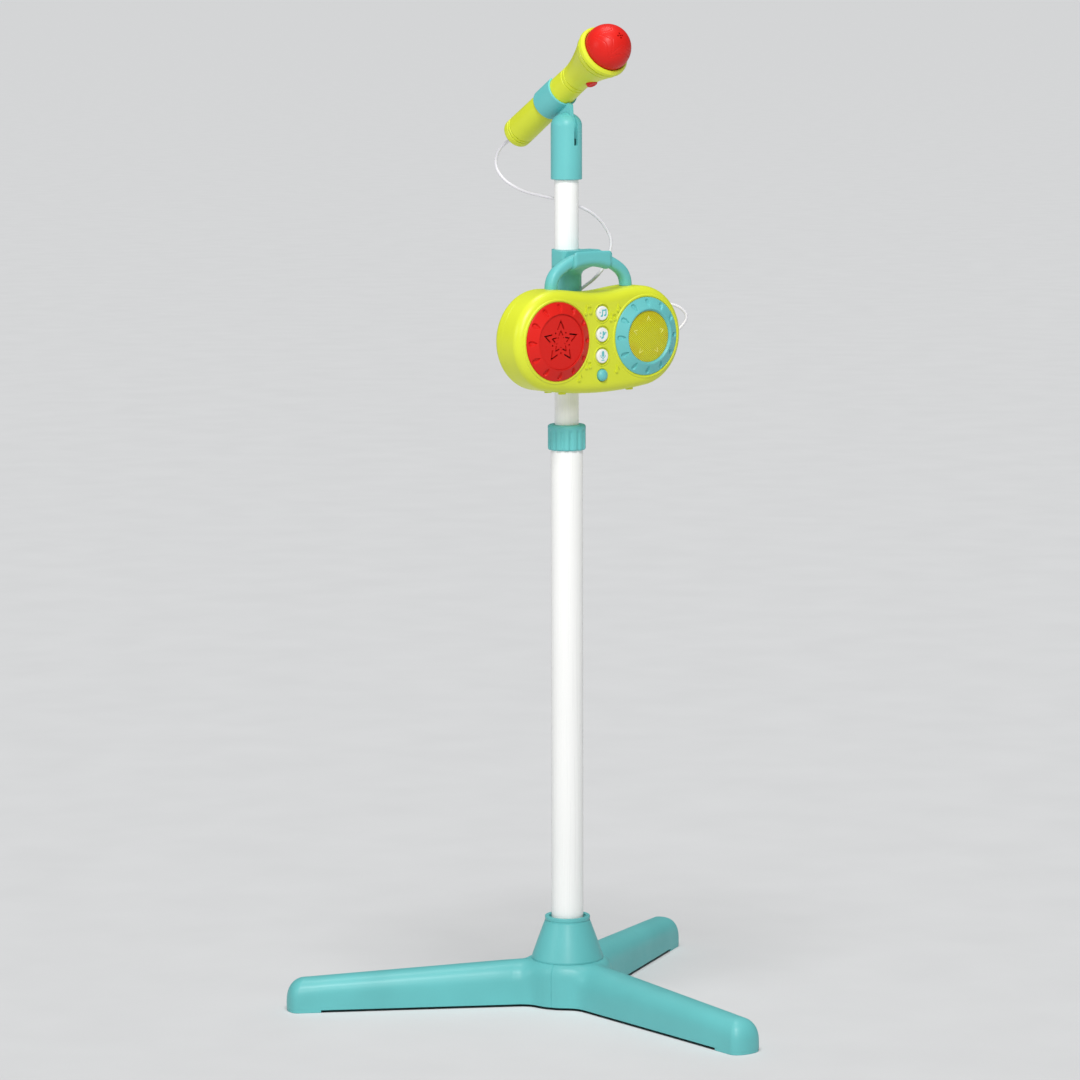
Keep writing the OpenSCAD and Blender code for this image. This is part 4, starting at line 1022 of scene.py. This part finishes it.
KEY_TOP = 57.6
ICONS = {
    "song_button": note(-1.7, -2.6, 4.5, True, 2.3) + sparkle(-3.7, 0.9, 1.2),
    "effect_button": note(-0.9, -3.0, 4.6, False, 2.5) + sparkle(3.2, 1.7, 1.5) + sparkle(-3.0, 1.7, 1.5)
    + sparkle(-3.0, -1.9, 1.2),
    "voice_button": small_mic(0.0, 0.2, 4.5),
}
for key, z in KEYS.items():
    place = on_face(0, z)
    piece(spin(key.replace("button", "key"), key_line(6.9, KEY_TOP, 1.8, 1.0), place, 64), key, white,
          "white_plastic", key)
    piece(raised(key.replace("button", "icon"), ICONS[key], KEY_TOP, 0.08, place), key, teal, "teal_plastic")
piece(spin("volume_key", key_line(5.8, 60.6, 5.8, 4.0)[:-1], on_face(0, VOL_Z), 64), "volume_button", teal,
      "teal_plastic", "volume_button")

FACE_NOTES = [(-20.6, 696.5, 6.0, True), (19.4, 697.8, 5.0, False), (10.6, 688.6, 5.2, True),
              (-20.0, 643.4, 5.2, True), (-29.0, 632.0, 5.6, False), (17.8, 638.0, 5.0, False)]
marks = []
for x, z, size, pair in FACE_NOTES:
    marks += note(x, z - BOX_Z, size, pair)
piece(raised("face_notes", marks, FACE, 1.3, on_face(0, BOX_Z)), "mast", lime, "lime_plastic")


def foot_pads():
    pads = []
    for x in (-42, 42):
        for y in (-46, -24):
            outline = soft([(-4, -2.5, 2.2), (4, -2.5, 2.2), (4, 2.5, 2.2), (-4, 2.5, 2.2)], 4)
            pads.append(prism("box_pads", outline, -0.9, 1.1, at(x, y, 619.26) @ BEHIND, 0.5))
    return merge(pads)


piece(foot_pads(), "mast", lime, "lime_plastic", "box_feet")

# ------ handle, bracket, gland

BAR_Z, CROWN_R, BEND = 749.5, 66.0, 20.0
CROWN_MID = BAR_Z - CROWN_R


def handle_mesh():
    """The carrying handle: a flat-crowned arch of oval section, with a spigot at each foot."""
    side_x = ARCH_X - BEND
    lean = asin(side_x / (CROWN_R - BEND))
    side_z = CROWN_MID + (CROWN_R - BEND) * cos(lean)
    foot = BOX_Z + LIFT + LOBE_R - 0.2
    half = [(0, CROWN_MID + CROWN_R)]
    half += [(CROWN_R * sin(lean * k / 8), CROWN_MID + CROWN_R * cos(lean * k / 8)) for k in range(1, 9)]
    half += [(side_x + BEND * sin(a), side_z + BEND * cos(a))
             for a in [lean + (pi / 2 - lean) * k / 7 for k in range(1, 8)]]
    half += [(ARCH_X, foot)]
    line = [(-x, z) for x, z in half[:0:-1]] + half
    arch = sweep("carry_handle", [Vector((x, -BAR_OUT, z)) for x, z in line], ellipse(5.75, 6.35, 36, 0.84))
    pegs = [bar("s", 3.0, foot - 5, foot + 3, at(x, -BAR_OUT, 0), 24) for x in (-ARCH_X, ARCH_X)]
    return merge([arch] + pegs)


piece(handle_mesh(), "mast", teal, "teal_plastic", "handle", angle=40)


def hook_ring(x, grow):
    """The hook's cross-section at x: a deep rounded trough under the handle's crown, open at the top."""
    crown = CROWN_MID + sqrt((CROWN_R + 0.4) ** 2 - x * x)
    outer, inner, top = 8.8 - min(grow, 1.2), 6.45, 756.0 - grow - 0.6 * (x / 24) ** 2
    low = crown - 9.4 + min(grow, 2.0)
    bend = 7.4 - min(grow, 0.6)
    pts = [(-BAR_OUT - inner, top - 0.8), (-BAR_OUT - inner - 0.35, top - 0.1),
           (-BAR_OUT - inner - 1.0, top), (-BAR_OUT - outer + 0.7, top - 0.5),
           (-BAR_OUT - outer + 0.15, top - 1.6), (-BAR_OUT - outer, top - 3.2)]
    pts += arc(-BAR_OUT, low + bend, outer, bend, range(180, 361, 10))
    pts += [(-BAR_OUT + outer, top - 1.0), (-BAR_OUT + outer - 0.6, top), (-BAR_OUT + inner + 0.4, top),
            (-BAR_OUT + inner, top - 0.8)]
    pts += arc(-BAR_OUT, crown, inner, -inner, range(0, 181, 12))
    return [(x, y, z) for y, z in pts]


def arm_rings():
    """The arm from the sleeve to the hook: level half rings that spread like a trumpet going up."""
    levels = [(725, 13.6, 13.6, 2), (729, 14.2, 14.2, 2), (732, 15.2, 15.2, 2), (734.5, 16.6, 16.6, 2),
              (736.5, 18.8, 19, 2.2), (738.3, 21.4, 22.2, 2.6), (739.6, 23, 24.8, 3.4), (740.8, 24, 26.4, 5),
              (742, 24, 26.4, 9), (755.2, 24, 26.4, 12), (755.8, 23.6, 26, 12), (756, 22.9, 25.4, 12)]
    rings = []
    for z, wide, deep, power in levels:
        first = asin((8 / deep) ** (power / 2))
        turns = [first + (pi - 2 * first) * k / 40 for k in range(41)]
        rings.append([(wide * abs(cos(a)) ** (2 / power) * (1 if cos(a) > 0 else -1),
                       -deep * sin(a) ** (2 / power), z) for a in turns])
    return rings


def bracket_mesh():
    wall = [(12.04, 640, 0.3), (14.75, 640, 0.8), (14.75, 756, 0.5), (12.04, 756, 0.3)]
    body = spin("hook_bracket", soft(wall, 3))
    turns = [radians(a) for a in range(10, 91, 16)]
    right = [(20 + 4 * sin(a), 4 - 4 * cos(a)) for a in turns]
    stations = [(-x, g) for x, g in right[::-1]] + [(x, 0) for x in range(-20, 21, 4)] + right
    hook = loft("s", [hook_ring(x, g) for x, g in stations])
    arm = loft("s", arm_rings())
    boss = bar("s", 5, 11, 19, at(z=664) @ TO_BACK, 40)
    body = combine(body, [arm, hook, eased(boss, 0.5)], "UNION")
    return combine(body, [bar("c", 12.04, 630, 770, HERE, 96),
                          bar("c", 1.95, 5, 25, at(z=664) @ TO_BACK, 24)])


piece(bracket_mesh(), "mast", teal, "teal_plastic", "bracket", angle=40)
piece(screw_head("sleeve_screw", 3.8, 2.4, 1.85, 6.8, at(0, 19, 664) @ TO_BACK),
      "mast", steel, "steel", "bracket_screw")

gland = piece(spin("cord_boss", [
    (0, 97.6), (4, 97.6), (4, 99.3), (3.2, 99.3), (3.2, 104.6), (3.5, 105.0), (3.5, 105.9), (3.1, 106.3),
    (2.7, 106.8), (2.85, 107.3), (2.5, 108.0), (2.6, 108.5), (2.2, 109.2), (2.2, 109.7), (1.9, 110),
    (0, 110)], GLAND, steps=40), "mast", white, "white_plastic", "cord_gland")

# ------ the cord: material, smooth shading, the CAD cord hidden

cord.data.materials.append(cord_look)
for face in cord.data.polygons:
    face.use_smooth = True
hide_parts("cord")
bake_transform(cord)

# ------ floor and light


# name, watts, spot, target and diameter in metres
LAMPS = [("key", 88, (-1.6, -2.1, 3.2), (0, 0, 0.55), 1.0), ("left", 18, (-3.2, 0.4, 1.8), (0, 0, 0.6), 1.4),
         ("top", 34, (0.2, 0.3, 3.4), (0, 0, 0.6), 1.4), ("front", 60, (-3.0, -3.9, 2.7), (0, 0, 0.6), 1.2)]
WORLD_LIGHT, WORLD_SEEN = 0.135, 0.70    # the world's strength as light, and to the camera


def lamp(name, kind, power, spot, target, spread):
    """A soft lamp at a spot, aimed at a target; spread is a disk's diameter, or a sun's angle."""
    data = bpy.data.lights.new(name, kind)
    data.energy = power
    if kind == "AREA":
        data.shape, data.size = "DISK", spread
    else:
        data.angle = spread
    obj = bpy.data.objects.new(name, data)
    obj.location = spot
    obj.rotation_euler = (Vector(target) - Vector(spot)).to_track_quat("-Z", "Y").to_euler()
    bpy.context.scene.collection.objects.link(obj)
    return obj


def stage():
    """A wide pale floor, evenly lit by a sun of its own, and soft lamps that light the object alone."""
    far = 400000
    floor = build("floor", [(-far, -far, 0), (far, -far, 0), (far, far, 0), (-far, far, 0)], [(0, 1, 2, 3)])
    k = Look("floor")
    shade = k.mix(k.span(k.noise(9.0, 2.0), 0.3, 0.7), rgb(202, 203, 204), rgb(205, 206, 207))
    k.set(Base_Color=shade, Roughness=k.span(k.noise(300.0), 0.3, 0.7, 0.7, 0.85),
          Normal=k.bump(k.noise(900.0), 0.02, 0.0002))
    floor.data.materials.append(k.material)

    only_floor = bpy.data.collections.new("only_floor")
    not_floor = bpy.data.collections.new("not_floor")
    for group, state in ((only_floor, "INCLUDE"), (not_floor, "EXCLUDE")):
        group.objects.link(floor)
        group.collection_objects[0].light_linking.link_state = state
    for name, *facts in LAMPS:
        lamp(name, "AREA", *facts).light_linking.receiver_collection = not_floor
    sun = lamp("floor_sun", "SUN", 3.5, (-0.8, -1.0, 3.2), (0, 0, 0), radians(35))
    sun.light_linking.receiver_collection = only_floor

    world = bpy.data.worlds.new("studio")
    world.use_nodes = True
    sky = world.node_tree.nodes["Background"]
    sky.inputs["Color"].default_value = (1.0, 1.0, 1.0, 1)
    seen = world.node_tree.nodes.new("ShaderNodeLightPath").outputs["Is Camera Ray"]
    level = world.node_tree.nodes.new("ShaderNodeMapRange")
    level.inputs["To Min"].default_value = WORLD_LIGHT
    level.inputs["To Max"].default_value = WORLD_SEEN
    world.node_tree.links.new(seen, level.inputs["Value"])
    world.node_tree.links.new(level.outputs[0], sky.inputs["Strength"])
    bpy.context.scene.world = world


stage()
bpy.context.scene.view_settings.view_transform = "Standard"
